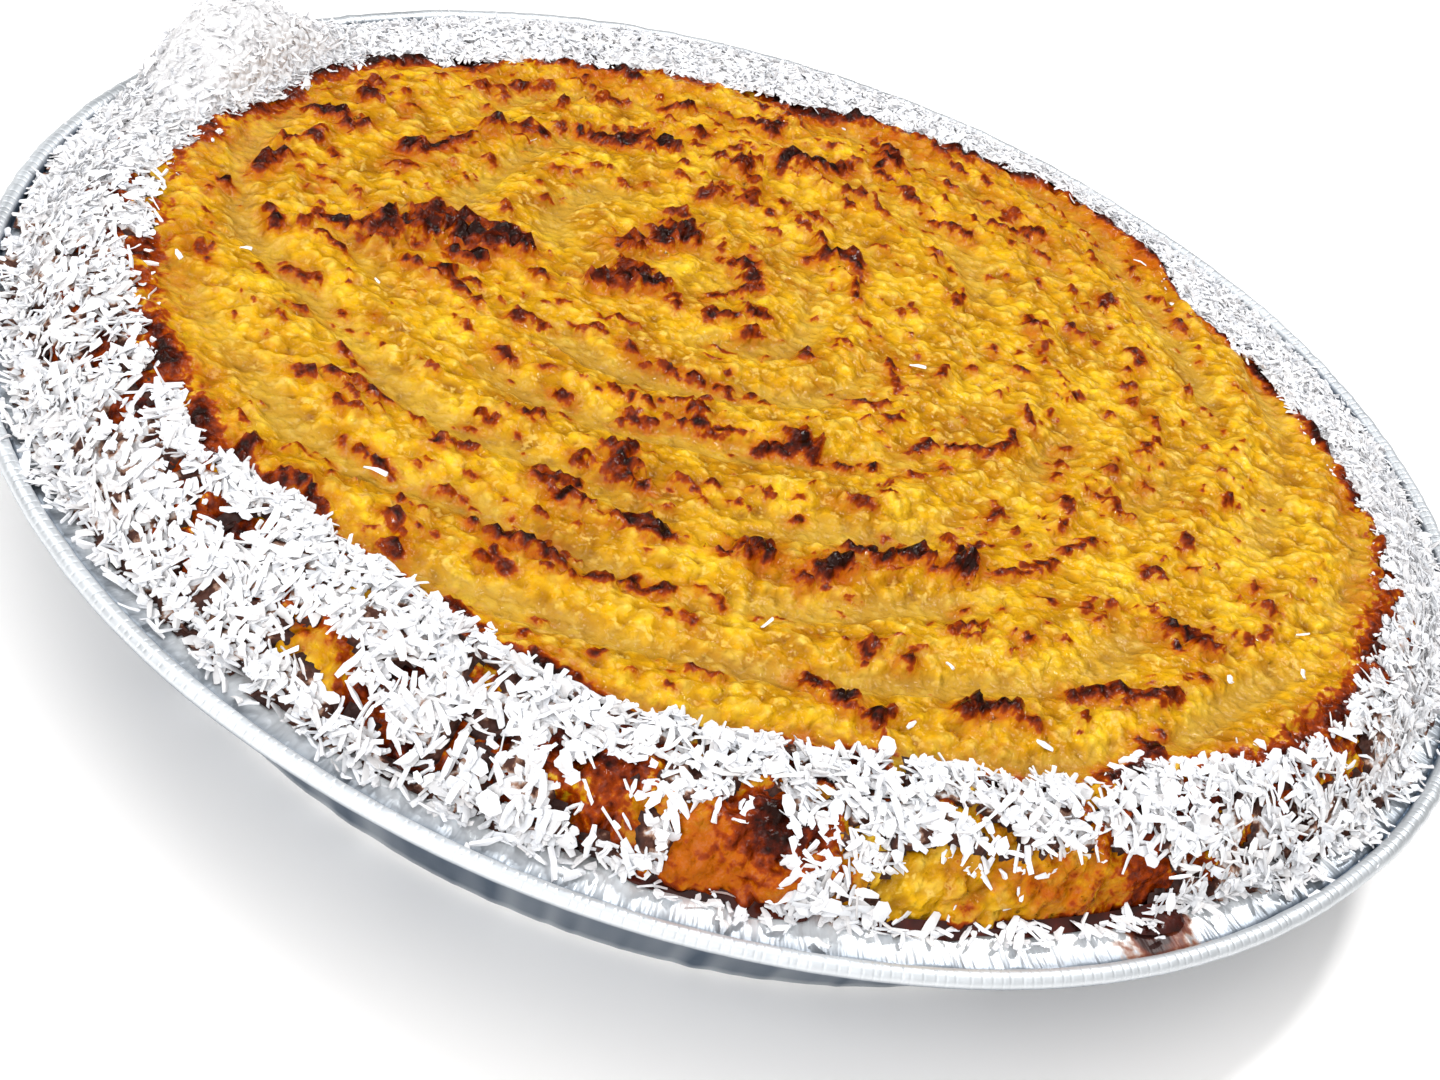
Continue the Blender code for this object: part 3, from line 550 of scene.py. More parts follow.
def rolled_foil():
    """Aluminium foil, cold rolled and pressed into a tin: bright metal that is slightly blotched and
    stained brown by juice at the tart's foot, and painted a dark bluish shade where it stands in shade."""
    material, tree, place = new_material("aluminium_foil")
    # wall: how far the foil is painted a dark bluish shade
    stain, wall = (node(tree, "Attribute", "Fac", attribute_name=name) for name in ("stain", "wall"))
    grid = {"Vector": place, "Scale": per_metre(FOIL_BLOTCH), "Detail": 4.0}
    blotch = node(tree, "TexNoise", "Fac", grid)
    grid = {"Vector": place, "Scale": per_metre(FOIL_HAZE), "Detail": 3.0}
    haze = node(tree, "TexNoise", "Fac", grid)
    # Painted shade: the bright foil turns dark and bluish by the wall attribute
    metal = node(tree, "Mix", 2, {0: wall, 6: "#EDF0F2", 7: "#465668"}, data_type="RGBA")
    uneven = node(tree, "Math", 0, {0: blotch, 1: 0.5}, operation="SUBTRACT")
    soaked = node(tree, "Math", 0, {0: uneven, 1: 1.4, 2: stain}, operation="MULTIPLY_ADD")
    cover = node(tree, "MapRange", "Result", {"Value": soaked, "From Min": 0.42, "From Max": 0.6})
    juicy = ((0.45, "#B08A6C"), (0.65, "#6E2F14"), (0.9, "#2E0D06"))
    juice = node(tree, "ValToRGB", "Color", {"Fac": soaked}, juicy)
    dull = {"Value": haze, "From Min": 0.3, "From Max": 0.7, "To Min": 0.4, "To Max": 0.56}
    bump = node(tree, "Bump", "Normal", {"Height": blotch, "Strength": 0.12, "Distance": 0.4 * MM})
    return finished(material, {
        "Base Color": node(tree, "Mix", 2, {0: cover, 6: metal, 7: juice}, data_type="RGBA"),
        "Metallic": node(tree, "MapRange", "Result", {"Value": cover, "To Min": 0.74, "To Max": 0.0}),
        "Roughness": node(tree, "MapRange", "Result", dull),
        "Normal": pleated(tree, place, bump),
    })


def boiled_syrup():
    """Juice that boiled out of the tart and set: a dark, glossy caramel film."""
    material, tree, place = new_material("boiled_syrup")
    grid = {"Vector": place, "Scale": per_metre(SYRUP_DRIFT), "Detail": 3.0}
    drift = node(tree, "TexNoise", "Fac", grid)
    dark = ((0.35, "#220804"), (0.6, "#3E1006"), (0.8, "#6A280A"))
    return finished(material, {
        "Base Color": node(tree, "ValToRGB", "Color", {"Fac": drift}, dark),
        "Roughness": 0.14,
        "IOR": 1.33,
        "Normal": node(tree, "Bump", "Normal", {"Height": drift, "Strength": 0.35, "Distance": 0.6 * MM}),
    })


def matt_sheet():
    """A seamless white paper sweep: evenly matt."""
    material, tree, place = new_material("paper_sweep")
    grid = {"Vector": place, "Scale": per_metre(PAPER_TOOTH), "Detail": 2.0}
    tooth = node(tree, "TexNoise", "Fac", grid)
    white = ((0.3, "#F9F7F5"), (0.7, "#FDFBF9"))
    return finished(material, {
        "Base Color": node(tree, "ValToRGB", "Color", {"Fac": tooth}, white),
        "Roughness": 0.95,
    })


# The baked custard


def swirl_at(points):
    """How far a spot lies out from the swirl's heart, and the direction of the strokes there."""
    across = points[:, 0] - SWIRL_HEART[0]
    ahead = points[:, 1] - SWIRL_HEART[1]
    return np.hypot(across, ahead), np.arctan2(across, -ahead)


def stroke_parts(points):
    """The crest and the trough of the spatula's strokes, each from 0 to 1."""
    reach, _ = swirl_at(points)
    turns = reach / STROKE_SPACING + 0.6 + 0.3 * swells(points, 31.0, 4) + 0.12 * swells(points, 11.0, 5)
    place = turns - np.floor(turns)
    crest = hump(place - 0.5, 0.15)
    trough = smooth(0.26, 0.42, np.abs(place - 0.5)) * smooth(-0.35, 0.25, swells(points, 24.0, 6))
    return crest, trough


class BakedSkin:
    """The browning of the custard and the rise of its crags, added up crag by crag."""

    def __init__(self, points):
        self.points = points
        self.rough = 0.55 * swells(points, 2.2, 21) + 0.75 * swells(points, 1.25, 22)
        self.burn = np.zeros(len(points))
        self.toast = np.zeros(len(points))
        self.rise = np.zeros(len(points))

    def raise_to(self, name, near, values):
        """Lifts one of the fields to the values wherever it is lower, at the points near, or ... for all."""
        field = getattr(self, name)
        field[near] = np.maximum(field[near], values)

    def add_crag(self, spot, length, width, turn, strength, height):
        """One burnt crag: an oval with a broken edge, lying along turn."""
        across = self.points[:, 0] - spot[0]
        ahead = self.points[:, 1] - spot[1]
        near = np.flatnonzero((np.abs(across) < 3.4 * length) & (np.abs(ahead) < 3.4 * length))
        across, ahead = across[near], ahead[near]
        forward = (across * math.cos(turn) + ahead * math.sin(turn)) / length
        sideways = (ahead * math.cos(turn) - across * math.sin(turn)) / width
        far = np.hypot(forward, sideways)
        edge = far * (1 + 0.55 * self.rough[near])
        self.raise_to("burn", near, strength * smooth(1.2, 0.3, edge))
        self.raise_to("toast", near, strength * hump(far, 1.55))
        self.raise_to("rise", near, height * smooth(1.15, 0.55, edge))


def add_crests(skin, draw):
    """Crags strung along each burnt crest."""
    for strength, width, *line in CRESTS:
        x, y = line[0]
        well_baked = max(smooth(20.0, 60.0, y), smooth(-20.0, -50.0, x) * smooth(-25.0, 0.0, y))
        width *= 1 + 0.5 * well_baked
        strength = min(strength + 0.15 * well_baked, 1.0)
        for (x0, y0), (x1, y1) in zip(line, line[1:]):
            length = math.hypot(x1 - x0, y1 - y0)
            count = max(1, round(length / (1.15 * width)))
            turn = math.atan2(y1 - y0, x1 - x0)
            for step in range(count + 1):
                share = step / count
                spot = (
                    x0 + (x1 - x0) * share + draw.gauss(0, 0.35 * width),
                    y0 + (y1 - y0) * share + draw.gauss(0, 0.35 * width),
                )
                size = width * draw.uniform(0.45, 1.1)
                depth = strength * draw.uniform(0.75, 1.08)
                skin.add_crag(spot, 1.5 * size, 1.1 * size, turn + draw.gauss(0, 0.5), depth, size)


def add_small_crags(skin, draw, count):
    """Scattered burnt specks, thickest on the crests and drawn out along the strokes."""
    made = 0
    while made < count:
        radius = CRAGS_WITHIN * math.sqrt(draw.random())
        angle = draw.uniform(0, math.tau)
        spot = np.array([[radius * math.cos(angle), radius * math.sin(angle), 0.0]])
        crest, trough = stroke_parts(spot)
        towards_back = smooth(20.0, 85.0, spot[0, 1])
        if draw.random() > 0.22 + 0.9 * crest[0] - 0.15 * trough[0] + 0.7 * towards_back:
            continue
        _, turn = swirl_at(spot)
        size = min(0.45 + draw.expovariate(2.6), 1.5)
        strength = min(0.34 + 0.26 * size + draw.uniform(-0.12, 0.15), 0.92)
        stretch = draw.uniform(1.0, 2.1)
        turn = turn[0] + draw.gauss(0, 0.35)
        skin.add_crag(spot[0], stretch * size, 0.85 * size, turn, strength, 0.8 * size)
        made += 1


def brown_the_edge(skin, azimuth, along):
    """The top's rim, browned where it meets the coconut."""
    inside = by_azimuth(INNER_EDGE, azimuth) - along
    patchy = 0.5 + 0.5 * swells(skin.points, 7.0, 31) + 0.35 * swells(skin.points, 2.6, 32)
    reach = by_azimuth(EDGE_BROWNING, azimuth)
    on_top = smooth(104.0, 96.0, along)
    ring = smooth(reach, -1.0, inside) * on_top
    solid = 0.3 * smooth(0.2, 0.8, np.sin(azimuth))
    skin.raise_to("burn", ..., np.clip(ring * (solid - 0.05 + 1.2 * patchy), 0, 1.0))
    halo = smooth(2.0 * reach + 1.0, 0.0, inside) * on_top
    oven_back = 0.42 * smooth(35.0, 90.0, skin.points[:, 1]) * on_top * (0.2 + patchy)
    skin.raise_to("toast", ..., np.clip(halo * (0.1 + 0.65 * patchy) + oven_back, 0, 1))
    skin.raise_to("rise", ..., 1.1 * ring * smooth(0.45, 0.9, patchy))


def brown_the_side(skin, azimuth, along):
    """The crust below the shoulder: amber, with caramel patches."""
    on_side = smooth(95.0, 103.0, along)
    patchy = swells(skin.points, 6.5, 41) + 0.6 * swells(skin.points, 2.8, 42)
    warm = by_azimuth(SIDE_TOAST, azimuth)
    block = np.exp(-((degrees_from(azimuth, -78.5) / 3.2) ** 2) - ((along - 105.0) / 4.5) ** 2)
    brow = smooth(107.0, 102.0, along) * warm
    foot = smooth(112.8, 115.0, along)
    burn = by_azimuth(SIDE_BURN, azimuth) + 0.25 * patchy - 0.1 + 0.7 * block + 0.4 * brow + 0.5 * foot
    skin.raise_to("burn", ..., on_side * np.clip(burn, 0, 0.95))
    skin.raise_to("toast", ..., on_side * np.clip(0.9 * warm + 0.35 * patchy, 0, 1))


def side_bulge(azimuth, along):
    """How far the block of custard at the front stands out, in mm."""
    block = hump(degrees_from(azimuth, -81.0), 6.0, 4)
    return 1.3 * block * smooth(100.0, 106.0, along) * smooth(115.5, 113.5, along)


def disc_grid():
    """A square grid bent into a disc: its square coordinates, its azimuths and shares of the way out."""
    line = np.linspace(-1, 1, 2 * CUSTARD_RINGS + 1)
    across, ahead = (part.ravel() for part in np.meshgrid(line, line))
    wide = np.abs(across) > np.abs(ahead)
    reach = np.where(wide, across, ahead)
    safe = np.where(reach == 0, 1.0, reach)
    azimuth = np.where(wide, math.pi / 4 * ahead / safe, math.pi / 2 - math.pi / 4 * across / safe)
    azimuth = np.where(reach < 0, azimuth + math.pi, azimuth)
    azimuth = (azimuth + math.pi) % math.tau - math.pi
    return across, ahead, azimuth, np.abs(reach)


def build_custard():
    """One sheet over the top and down the side, closed below."""
    across, ahead, azimuth, share = disc_grid()
    path = rounded(TART_OUTLINE)
    along = np.interp(share, (0, SHOWN_SHARE), (0, path[0][-1]))
    surface, normals = turned_points(path, azimuth, along, 0.0)
    under = share > SHOWN_SHARE
    wall = np.interp(share[under], (SHOWN_SHARE, 1.0), (0, 1))
    wall_shares, wall_radii, wall_heights = zip(*HIDDEN_WALL)
    wall_radius = np.interp(wall, wall_shares, wall_radii)
    surface[under] = turned(wall_radius, azimuth[under], np.interp(wall, wall_shares, wall_heights))

    skin = BakedSkin(surface)
    draw = random.Random(7)
    add_crests(skin, draw)
    add_small_crags(skin, draw, SMALL_CRAGS)
    brown_the_edge(skin, azimuth, along)
    brown_the_side(skin, azimuth, along)

    top = smooth(100.0, 94.0, along)
    crest, trough = stroke_parts(surface)
    trough = trough * top
    calm = 1 - 0.72 * trough
    lumps = packed_lumps(surface, LUMP, 51)
    fine = packed_lumps(surface, FINE_LUMP, 61)
    relief = calm * (0.9 * lumps + 0.42 * fine) + top * (0.8 * crest - 0.55 * trough)
    relief = relief + 0.35 * swells(surface, 9.0, 71)
    past_edge = along - by_azimuth(INNER_EDGE, azimuth)
    relief += skin.rise * (0.45 + 0.8 * fine) * top * smooth(2.5, 0.5, past_edge)
    side = 1.3 * packed_lumps(surface, SIDE_LUMP, 81) + packed_lumps(surface, FINE_SIDE_LUMP, 84)
    relief += (1 - top) * (side - 0.8 + side_bulge(azimuth, along))
    covered = smooth(0.5, 2.5, past_edge) * smooth(0.0, 0.3, np.sin(azimuth))
    relief = relief * (1 - covered) - SHEET_INSET
    relief[under] = 0.0
    points = surface + normals * relief[:, None]

    count = 2 * CUSTARD_RINGS + 1
    quads = grid_quads(count, count, wrap=False)
    number = np.arange(count * count).reshape(count, count)
    border = np.concatenate([number[0, :-1], number[:-1, -1], number[-1, :0:-1], number[:0:-1, 0]])
    faces = quads.tolist() + [border[::-1].tolist()]
    piece = new_piece("custard", points, faces, baked_custard(), "baked_custard")
    smear = 0.6 * trough * (1 - skin.toast)
    # The lumps' height is stored for the material to paint shade in the creases and a highlight on their tops
    store(piece, burn=skin.burn, toast=skin.toast, smear=smear, lump=0.6 * lumps + 0.4 * fine)
    flat = piece.data.uv_layers.new(name="OFBake")
    loops = np.empty(len(piece.data.loops), np.int32)
    piece.data.loops.foreach_get("vertex_index", loops)
    spots = np.stack([across, ahead], axis=1)[loops] * 0.49 + 0.5
    flat.data.foreach_set("uv", spots.astype(np.float32).ravel())
    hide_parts("tart")


# The coconut


def band_edges(azimuth):
    """Where the coconut begins and ends along the bed."""
    return by_azimuth(INNER_EDGE, azimuth), by_azimuth(OUTER_EDGE, azimuth) + FLANGE_SHIFT


def apart(azimuth, along, centre, middle, half_round, half_along):
    """How far places are from a spot on the bed, round it and along it, in the spot's half sizes."""
    sideways = np.radians(degrees_from(azimuth, centre)) * BAND_RADIUS / half_round
    return sideways, (along - middle) / half_along


def coverage(azimuth, along):
    """How thickly the coconut lies, from 0 to 1, before it is scattered."""
    inner, outer = band_edges(azimuth)
    spots = turned(along, azimuth, 0.0)
    ragged = 1.3 * swells(spots, 4.5, 91) + 0.8 * swells(spots, 1.8, 92)
    cover = smooth(-1.2, 1.8, along - inner + ragged) * smooth(-1.5, 2.0, outer - along + 1.4 * ragged)
    for *spot, strength in BARE_SPOTS:
        far = np.hypot(*apart(azimuth, along, *spot)) + 0.16 * ragged
        cover = cover * (1 - np.clip(strength * smooth(1.15, 0.75, far), 0, 1))
    near_side = smooth(-0.2, -0.9, np.sin(azimuth))
    thin = smooth(0.2, 0.75, swells(spots, 5.5, 93) + 0.5 * swells(spots, 2.4, 94))
    holes = smooth(0.3, 0.6, swells(spots, 3.1, 95) + 0.5 * swells(spots, 1.5, 96))
    holes = holes * smooth(0.3, -0.2, np.sin(azimuth))
    return cover * (1 - 0.85 * holes) * (1 - 0.3 * thin * near_side)


def heap_depth(azimuth, along):
    """The heap's depth in mm off the bed, with the extra mound on the far left."""
    inner, outer = band_edges(azimuth)
    taper = smooth(-0.5, 4.5, along - inner) * smooth(-0.5, 5.0, outer - along)
    corner = 1.0 + 0.8 * hump(along - FLANGE_FROM + 1.0, 3.5)
    *spot, extra = MOUND
    sideways, lengthways = apart(azimuth, along, *spot)
    mound = extra * np.exp(-(sideways**2) - lengthways**2)
    thin = 1 - 0.6 * smooth(0.1, 0.8, np.sin(azimuth))
    return taper * (HEAP_DEPTH * corner * thin + mound)


def build_heap():
    """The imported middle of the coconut, left out where the crust is bare."""
    azimuth = np.tile(np.linspace(-math.pi, math.pi, HEAP_STEPS, endpoint=False), HEAP_ROWS)
    share = np.repeat(np.linspace(0, 1, HEAP_ROWS), HEAP_STEPS)
    inner, outer = band_edges(azimuth)
    inner, outer = inner - 0.5, outer + 0.5
    along = inner + (outer - inner) * share
    cover = coverage(azimuth, along)
    spots = turned(BAND_RADIUS, azimuth, along)
    relief = 0.9 * (packed_lumps(spots, 2.2, 101) - 0.5) + 0.4 * swells(spots, 5.0, 102)
    far_side = smooth(-0.1, 0.3, np.sin(azimuth))
    packed = 0.25 + (0.5 + 0.14 * far_side) * cover
    lift = heap_depth(azimuth, along) * packed + relief * cover - 0.5
    points, _ = bed_points(azimuth, along, np.maximum(lift, 0.08))
    quads = grid_quads(HEAP_ROWS, HEAP_STEPS, wrap=True)[:, ::-1]
    shown = (lift[quads] > -0.1).any(axis=1) & (cover[quads] > 0.3).any(axis=1)
    piece = new_piece("coconut_heap", points, quads[shown], heaped_coconut(), "shredded_coconut")
    near_side = smooth(0.4, -0.5, np.sin(azimuth))
    # Browner and darker on the near side and where the cover is thin: partly crust showing through, partly
    # painted shade between the shreds
    store(piece, stain=0.15 * near_side + 0.4 * near_side * (1 - cover) - 0.25 * (1 - near_side))
    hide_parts("coconut")


def shred_shape(draw, length, width, thickness, spans, bend, taper):
    """One shred: a strip with thin edges, bent, twisted and uneven along its length."""
    arc = draw.uniform(-bend, bend)
    sway = 0.6 * draw.uniform(-bend, bend)
    twist = draw.uniform(-0.6, 0.6)
    corners = []
    for step in range(spans + 1):
        share = step / spans - 0.5
        hump = length * (0.25 - share * share)
        middle = Vector((share * length, sway * hump, arc * hump))
        turn = Matrix.Rotation(twist * share * 2, 3, "X")
        for side, rise in ((-1, 0), (0, -1), (1, 0), (0, 1)):
            half = 0.5 * width * (1 - taper * abs(2 * share) ** 2) * draw.uniform(0.7, 1.3)
            slant = 0.35 * half * draw.uniform(-1, 1)
            corner = turn @ Vector((slant, side * half, rise * 0.5 * thickness))
            corners.append(middle + corner)
    faces = [(0, 3, 2, 1)]
    for step in range(spans):
        first = 4 * step
        for side in range(4):
            after = (side + 1) % 4
            faces.append((first + side, first + after, first + 4 + after, first + 4 + side))
    last = 4 * spans
    faces.append((last, last + 1, last + 2, last + 3))
    return np.array(corners), np.array(faces)


def unit(vectors):
    return vectors / np.linalg.norm(vectors, axis=1, keepdims=True)


def between_two(first, second, angles):
    """Directions that are turned by the angles from first towards second."""
    return first * np.cos(angles)[:, None] + second * np.sin(angles)[:, None]


def scatter(name, shapes, places, normals, draw, tilt, material):
    """Joins one copy of a shape at every place, each turned and sized by chance."""
    count = len(places)
    around = draw.uniform(0, math.tau, count)
    towards_front = smooth(0.5, -0.8, places[:, 1:2] / TART_RADIUS)
    lift = draw.normal(0, tilt, count) * (1.5 - 0.5 * towards_front[:, 0])
    roll = draw.normal(0, 0.45, count)
    helper = np.where(np.abs(normals[:, 2:]) > 0.9, (1.0, 0.0, 0.0), (0.0, 0.0, 1.0))
    east = unit(np.cross(helper, normals))
    flat = between_two(east, np.cross(normals, east), around)
    aim = between_two(flat, normals, lift)
    beside = unit(np.cross(normals, aim))
    side = between_two(beside, np.cross(aim, beside), roll)
    frames = np.stack([aim, side, np.cross(aim, side)], axis=2)
    sizes = np.clip(draw.normal(1.0, SIZE_SPREAD, (count, 3)), 0.55, 1.6)
    sizes = sizes * (SIZE_AT_BACK + SIZE_GAIN_AT_FRONT * towards_front)
    kinds = draw.integers(0, len(shapes), count)
    parts, tones = [], []
    for kind, (corners, faces) in enumerate(shapes):
        mine = np.flatnonzero(kinds == kind)
        scaled = corners[None] * sizes[mine][:, None]
        placed = np.einsum("nij,nkj->nki", frames[mine], scaled) + places[mine][:, None]
        starts = np.arange(len(mine))[:, None, None] * len(corners)
        parts.append((placed.reshape(-1, 3), (faces[None] + starts).reshape(-1, 4)))
        tones.append(np.repeat(draw.random(len(mine)) ** 2, len(corners)))
    piece = new_piece(name, *joined(parts), material, "shredded_coconut", smooth_angle=35)
    store(piece, tone=np.concatenate(tones))


def heap_places(draw, count):
    """Spots through the heap's depth, as many as asked for, thickest where it is covered."""
    azimuths, alongs = [], []
    while sum(len(part) for part in azimuths) < count:
        azimuth = draw.uniform(-math.pi, math.pi, TRIES_AT_ONCE)
        along = draw.uniform(83.0, 126.0, TRIES_AT_ONCE)
        mound = hump(degrees_from(azimuth, MOUND[0]), 12.0)
        ahead = np.sin(azimuth)
        crowding = 1.5 - 0.55 * smooth(0.5, -0.4, ahead) + 0.25 * smooth(-0.5, -0.9, ahead)
        crowding += 1.2 * mound + 0.2 * smooth(0.5, 0.9, np.cos(azimuth))
        kept = MOST_CROWDED * draw.random(TRIES_AT_ONCE) < crowding * coverage(azimuth, along)
        azimuths.append(azimuth[kept])
        alongs.append(along[kept])
    azimuth = np.concatenate(azimuths)[:count]
    along = np.concatenate(alongs)[:count]
    depth = heap_depth(azimuth, along)
    level = depth * draw.uniform(0.3, 0.95, count)
    spots = np.stack([BAND_RADIUS * azimuth, along, depth], axis=1)
    return bed_points(azimuth, along, 0.25 + level + 0.25 * swells(spots, 3.0, 111))


def stray_places(draw):
    """Single shreds that lie loose on the custard, on the foil and at the foot of the bare side."""
    azimuth = draw.uniform(-math.pi, math.pi, STRAYS_ON_TOP)
    along = by_azimuth(INNER_EDGE, azimuth) - draw.exponential(7.0, STRAYS_ON_TOP)
    anywhere = draw.random(STRAYS_ON_TOP) < 0.25
    along = np.where(anywhere, 85 * np.sqrt(draw.random(STRAYS_ON_TOP)), along)
    sets = [bed_points(azimuth, along, 0.9)]
    azimuth = draw.uniform(-math.pi, math.pi, STRAYS_ON_FLANGE)
    _, outer = band_edges(azimuth)
    along = np.clip(outer + draw.normal(0.0, 1.6, STRAYS_ON_FLANGE), 0, 126.5)
    sets.append(bed_points(azimuth, along, 0.35))
    for first, last, near, far, count in LOOSE_SHREDS:
        azimuth = np.radians(draw.uniform(first, last, count))
        along = draw.uniform(near, far, count)
        sets.append(bed_points(azimuth, along, 0.6 + side_bulge(azimuth, along)))
    return sets


def build_shreds():
    """Three kinds of shred, as the packet holds: thin strips, flat chips and longer curls."""
    material = dried_coconut()
    vary = random.Random(3)
    for number, (name, count, length, width, thickness, spans, bend, taper, tilt) in enumerate(SHRED_KINDS):
        draw = np.random.default_rng(40 + number)
        shapes = []
        for _ in range(SHAPES_OF_A_KIND):
            sizes = length * vary.uniform(0.75, 1.2), width * vary.uniform(0.7, 1.3), thickness
            shapes.append(shred_shape(vary, *sizes, spans, bend, taper))
        sets = [heap_places(draw, count)]
        if number == 0:
            sets.extend(stray_places(draw))
        places, normals = (np.vstack(part) for part in zip(*sets))
        scatter(name, shapes, places, normals, draw, tilt, material)


# The foil tin


def foil_outline():
    """From inside the wall, over the flange and the rolled hem, under it and down to the base."""
    inside = [(107.6, 24.6), (108.4, 26.2), (108.9, 27.1)]
    flange = [(r, 28.0 - 0.13 * (r - 109.6)) for r in np.arange(109.6, 116.5, 0.48)]
    turns = np.radians(np.linspace(170, -120, 15))
    (centre, level), (half_width, half_height) = HEM_CENTRE, HEM_SIZE
    hem = [(centre + half_width * math.cos(a), level + half_height * math.sin(a)) for a in turns]
    under = [(116.4, 26.9), (113.0, 27.0), (110.2, 26.95)]
    wall = [(109.3, 26.3), (106.0, 20.2), (102.7, 13.9), (99.4, 7.6), (96.9, 2.9), (96.1, 1.3)]
    corner = [(94.6, 0.25), (92.5, 0.0)]
    base = [(86.0, 0.0), (84.5, 0.25), (83.0, 0.25), (60.0, 0.25), (30.0, 0.25), (0.05, 0.25)]
    return np.array([*inside, *flange, (GROOVE_RADIUS, 26.7), *hem, *under, *wall, *corner, *base])


def build_foil():
    """The tin with its pleats, its crimped hem, its slightly warped rim and its fluted wall."""
    outline = foil_outline()
    rows = len(outline)
    azimuth = np.tile(np.linspace(-math.pi, math.pi, FOIL_STEPS, endpoint=False), rows)
    radius, level = np.repeat(outline, FOIL_STEPS, axis=0).T
    round_spot = turned(FLANGE_RADIUS, azimuth, 0.0)
    drift = turned(FLANGE_RADIUS, azimuth, 0.35 * radius)
    pleat = swells(drift, 2.2, 121) + 0.7 * swells(drift, 5.0, 122)
    on_flange = smooth(109.0, 111.0, radius) * smooth(117.4, 116.0, radius) * smooth(24.5, 27.0, level)
    on_hem = smooth(116.4, 117.2, radius)
    crimp = 0.5 * swells(round_spot, 1.5, 123) + 0.5 * swells(round_spot, 3.3, 124)
    sag = 0.45 * swells(round_spot, 46.0, 125) * smooth(104.0, 116.0, radius)
    height = level + on_flange * 0.22 * pleat + on_hem * 0.12 * crimp + sag
    warp = 0.25 * swells(round_spot, 30.0, 126) * smooth(96.0, 110.0, radius)
    radius = radius + on_hem * 0.16 * crimp + warp
    on_wall = smooth(27.0, 26.0, height) * smooth(0.2, 2.0, height) * (radius < TART_RADIUS)
    upright = turned(FLANGE_RADIUS, azimuth, 0.12 * height)
    flute = swells(upright, 3.4, 127) + 0.5 * swells(upright, 1.7, 128)
    radius = radius + on_wall * 0.22 * flute
    faces = grid_quads(rows, FOIL_STEPS, wrap=True)[:, ::-1]
    points = turned(radius, azimuth, height)
    piece = new_piece("foil_pan", points, faces, rolled_foil(), "foil", smooth_angle=50)

    bare = np.maximum(hump(degrees_from(azimuth, -61.0), 15.0, 4), hump(degrees_from(azimuth, -82.0), 7.0, 4))
    foot = smooth(114.5, 108.5, radius)
    spill = 0.9 * hump(degrees_from(azimuth, -49.5), 4.0) * smooth(119.0, 116.0, radius)
    stain = np.maximum(foot * (0.2 + 0.35 * bare), spill) * (height > 26.5)
    # Painted shade, stored as wall: the underside of the hem, the groove inside it, a thin line along its
    # top, the whole hem a little and the fluted wall below the flange
    painted_curl_shade = smooth(HEM_CENTRE[1] + 0.1, HEM_CENTRE[1] - 0.7, level) * (radius > TART_RADIUS)
    groove = hump(radius - GROOVE_RADIUS, 0.45) * (height > 26.0)
    seam = 0.45 * hump(radius - SEAM_RADIUS, 0.16) * (height > 28.0)
    shaded_wall = on_wall * np.clip(0.9 + 0.16 * flute, 0.5, 1.1)
    dark = np.maximum.reduce([shaded_wall, painted_curl_shade, groove, seam, 0.3 * on_hem])
    store(piece, stain=stain, wall=dark, hem=on_hem * (height > 26.0), flange=on_flange)
    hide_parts("foil_tin")


# The syrup at the tart's foot


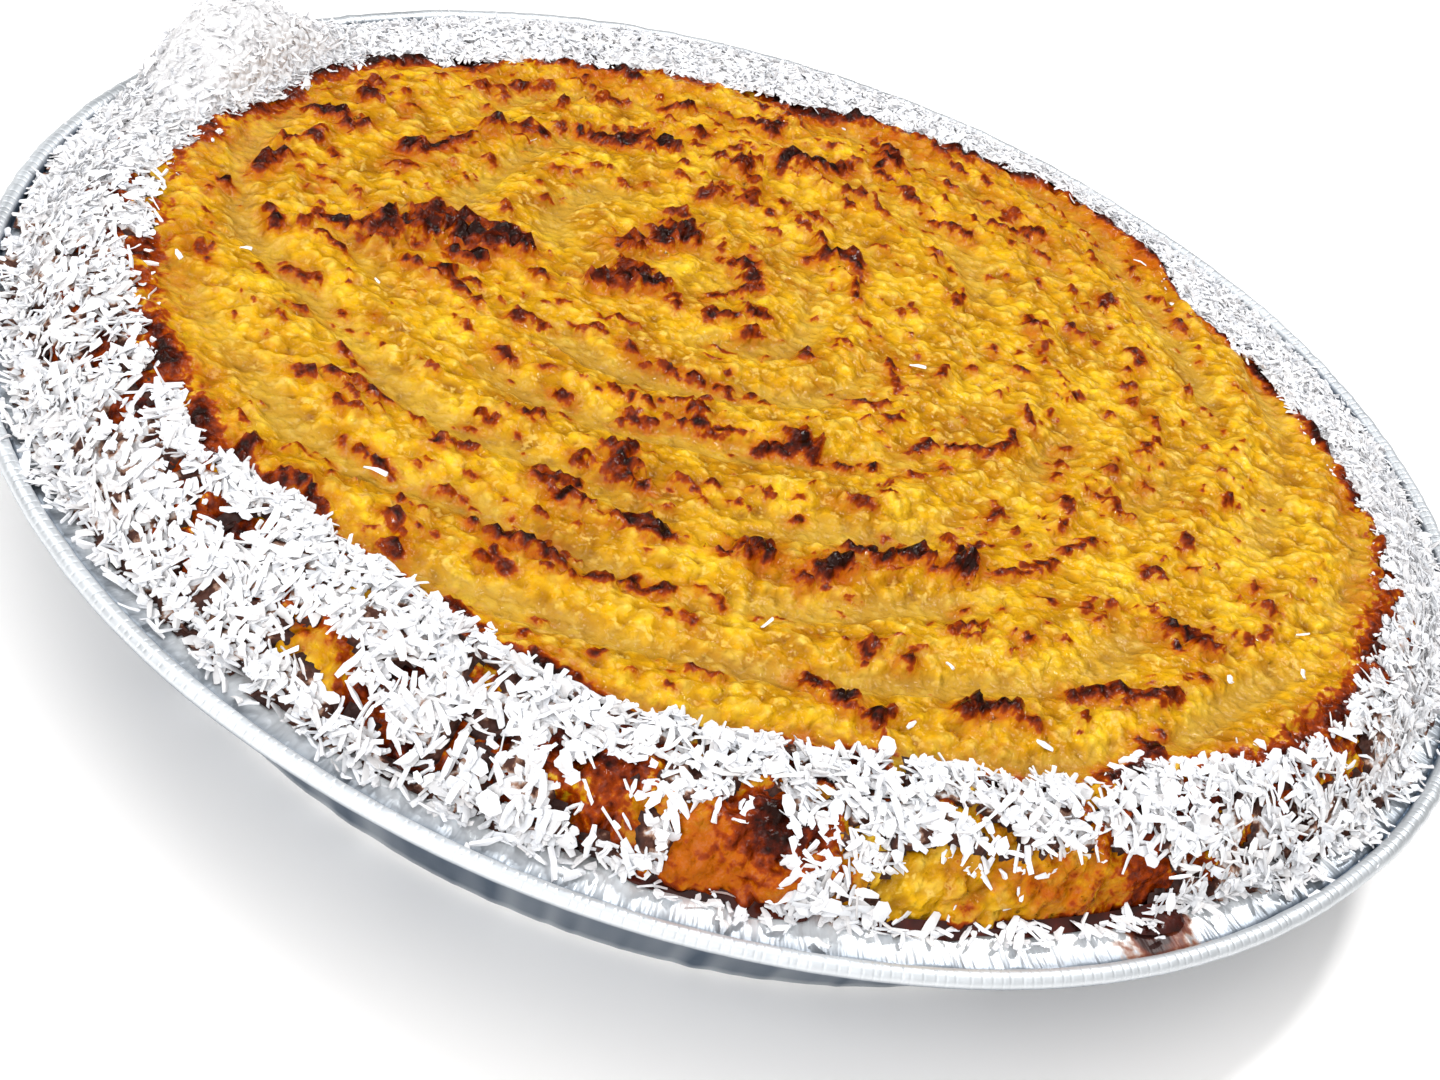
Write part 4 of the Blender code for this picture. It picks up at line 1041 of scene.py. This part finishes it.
def build_syrup():
    """Shallow pools along the bare stretches, thick against the tart and thinning over the flange."""
    parts = []
    for first, last, width in SYRUP_STRETCHES:
        around = round((last - first) * 2.4)
        azimuth = np.radians(np.tile(np.linspace(first, last, around), SYRUP_ROWS))
        share = np.repeat(np.linspace(0, 1, SYRUP_ROWS), around)
        along_share = np.tile(np.linspace(0, 1, around), SYRUP_ROWS)
        ends = np.sqrt(np.clip(1 - (2 * along_share - 1) ** 6, 0, 1))
        reach = width * ends * (1 + 0.45 * swells(turned(TART_RADIUS, azimuth, 0.0), 3.5, 131))
        along = FLANGE_FROM - 1.4 + (reach + 1.0) * share
        lift = 0.06 + 0.45 * ends * np.sqrt(np.clip(1 - share**2, 0, 1))
        points, _ = bed_points(azimuth, along, lift)
        parts.append((points, grid_quads(SYRUP_ROWS, around, wrap=False)[:, ::-1]))
    new_piece("syrup", *joined(parts), boiled_syrup(), "baked_custard")


# The studio


def build_floor():
    corners = 3 * METRE * np.array([(-1, -1, 0), (1, -1, 0), (1, 1, 0), (-1, 1, 0)])
    add_mesh("floor", corners, [(0, 1, 2, 3)], matt_sheet())


def light_studio():
    """A room that is white in front and overhead and grey at the back, with a small lamp behind on
    the right, a softer one behind on the left and a broad one in front."""
    world = bpy.data.worlds.new("white_room")
    bpy.context.scene.world = world
    world.use_nodes = True
    tree = world.node_tree
    background = tree.nodes["Background"]
    way = node(tree, "TexCoord", "Generated")
    facing = node(tree, "VectorMath", "Value", {0: way, 1: (0.0, -0.6, 0.8)}, operation="DOT_PRODUCT")
    reach = {"Value": facing, "From Min": 0.05, "From Max": 0.85, "To Min": 0.15, "To Max": 1.3}
    fill(tree, background.inputs["Color"], "#FFFFFF")
    fill(tree, background.inputs["Strength"], node(tree, "MapRange", "Result", reach))
    for name, place, size, power in LAMPS:
        lamp = bpy.data.lights.new(name, "AREA")
        lamp.shape = "DISK"
        lamp.size = size
        lamp.energy = power
        light = bpy.data.objects.new(name, lamp)
        light.location = place
        aim = Vector(LAMP_TARGET) - Vector(place)
        light.rotation_euler = aim.to_track_quat("-Z", "Y").to_euler()
        bpy.context.scene.collection.objects.link(light)


def add_camera():
    camera_data = bpy.data.cameras.new("camera")
    camera_data.sensor_fit = "HORIZONTAL"
    camera_data.sensor_width = 36.0
    camera_data.lens = CAMERA_LENS
    camera_data.clip_start = 0.01
    camera = bpy.data.objects.new("camera", camera_data)
    right, up = Vector(CAMERA_RIGHT), Vector(CAMERA_UP)
    back = right.cross(up)
    turn = Matrix((right, up, back)).transposed().to_4x4()
    camera.matrix_world = Matrix.Translation(CAMERA_PLACE) @ turn
    bpy.context.scene.collection.objects.link(camera)
    bpy.context.scene.camera = camera


build_custard()
build_heap()
build_shreds()
build_foil()
build_syrup()
build_floor()
light_studio()
add_camera()
bpy.context.scene.view_settings.view_transform = "Standard"
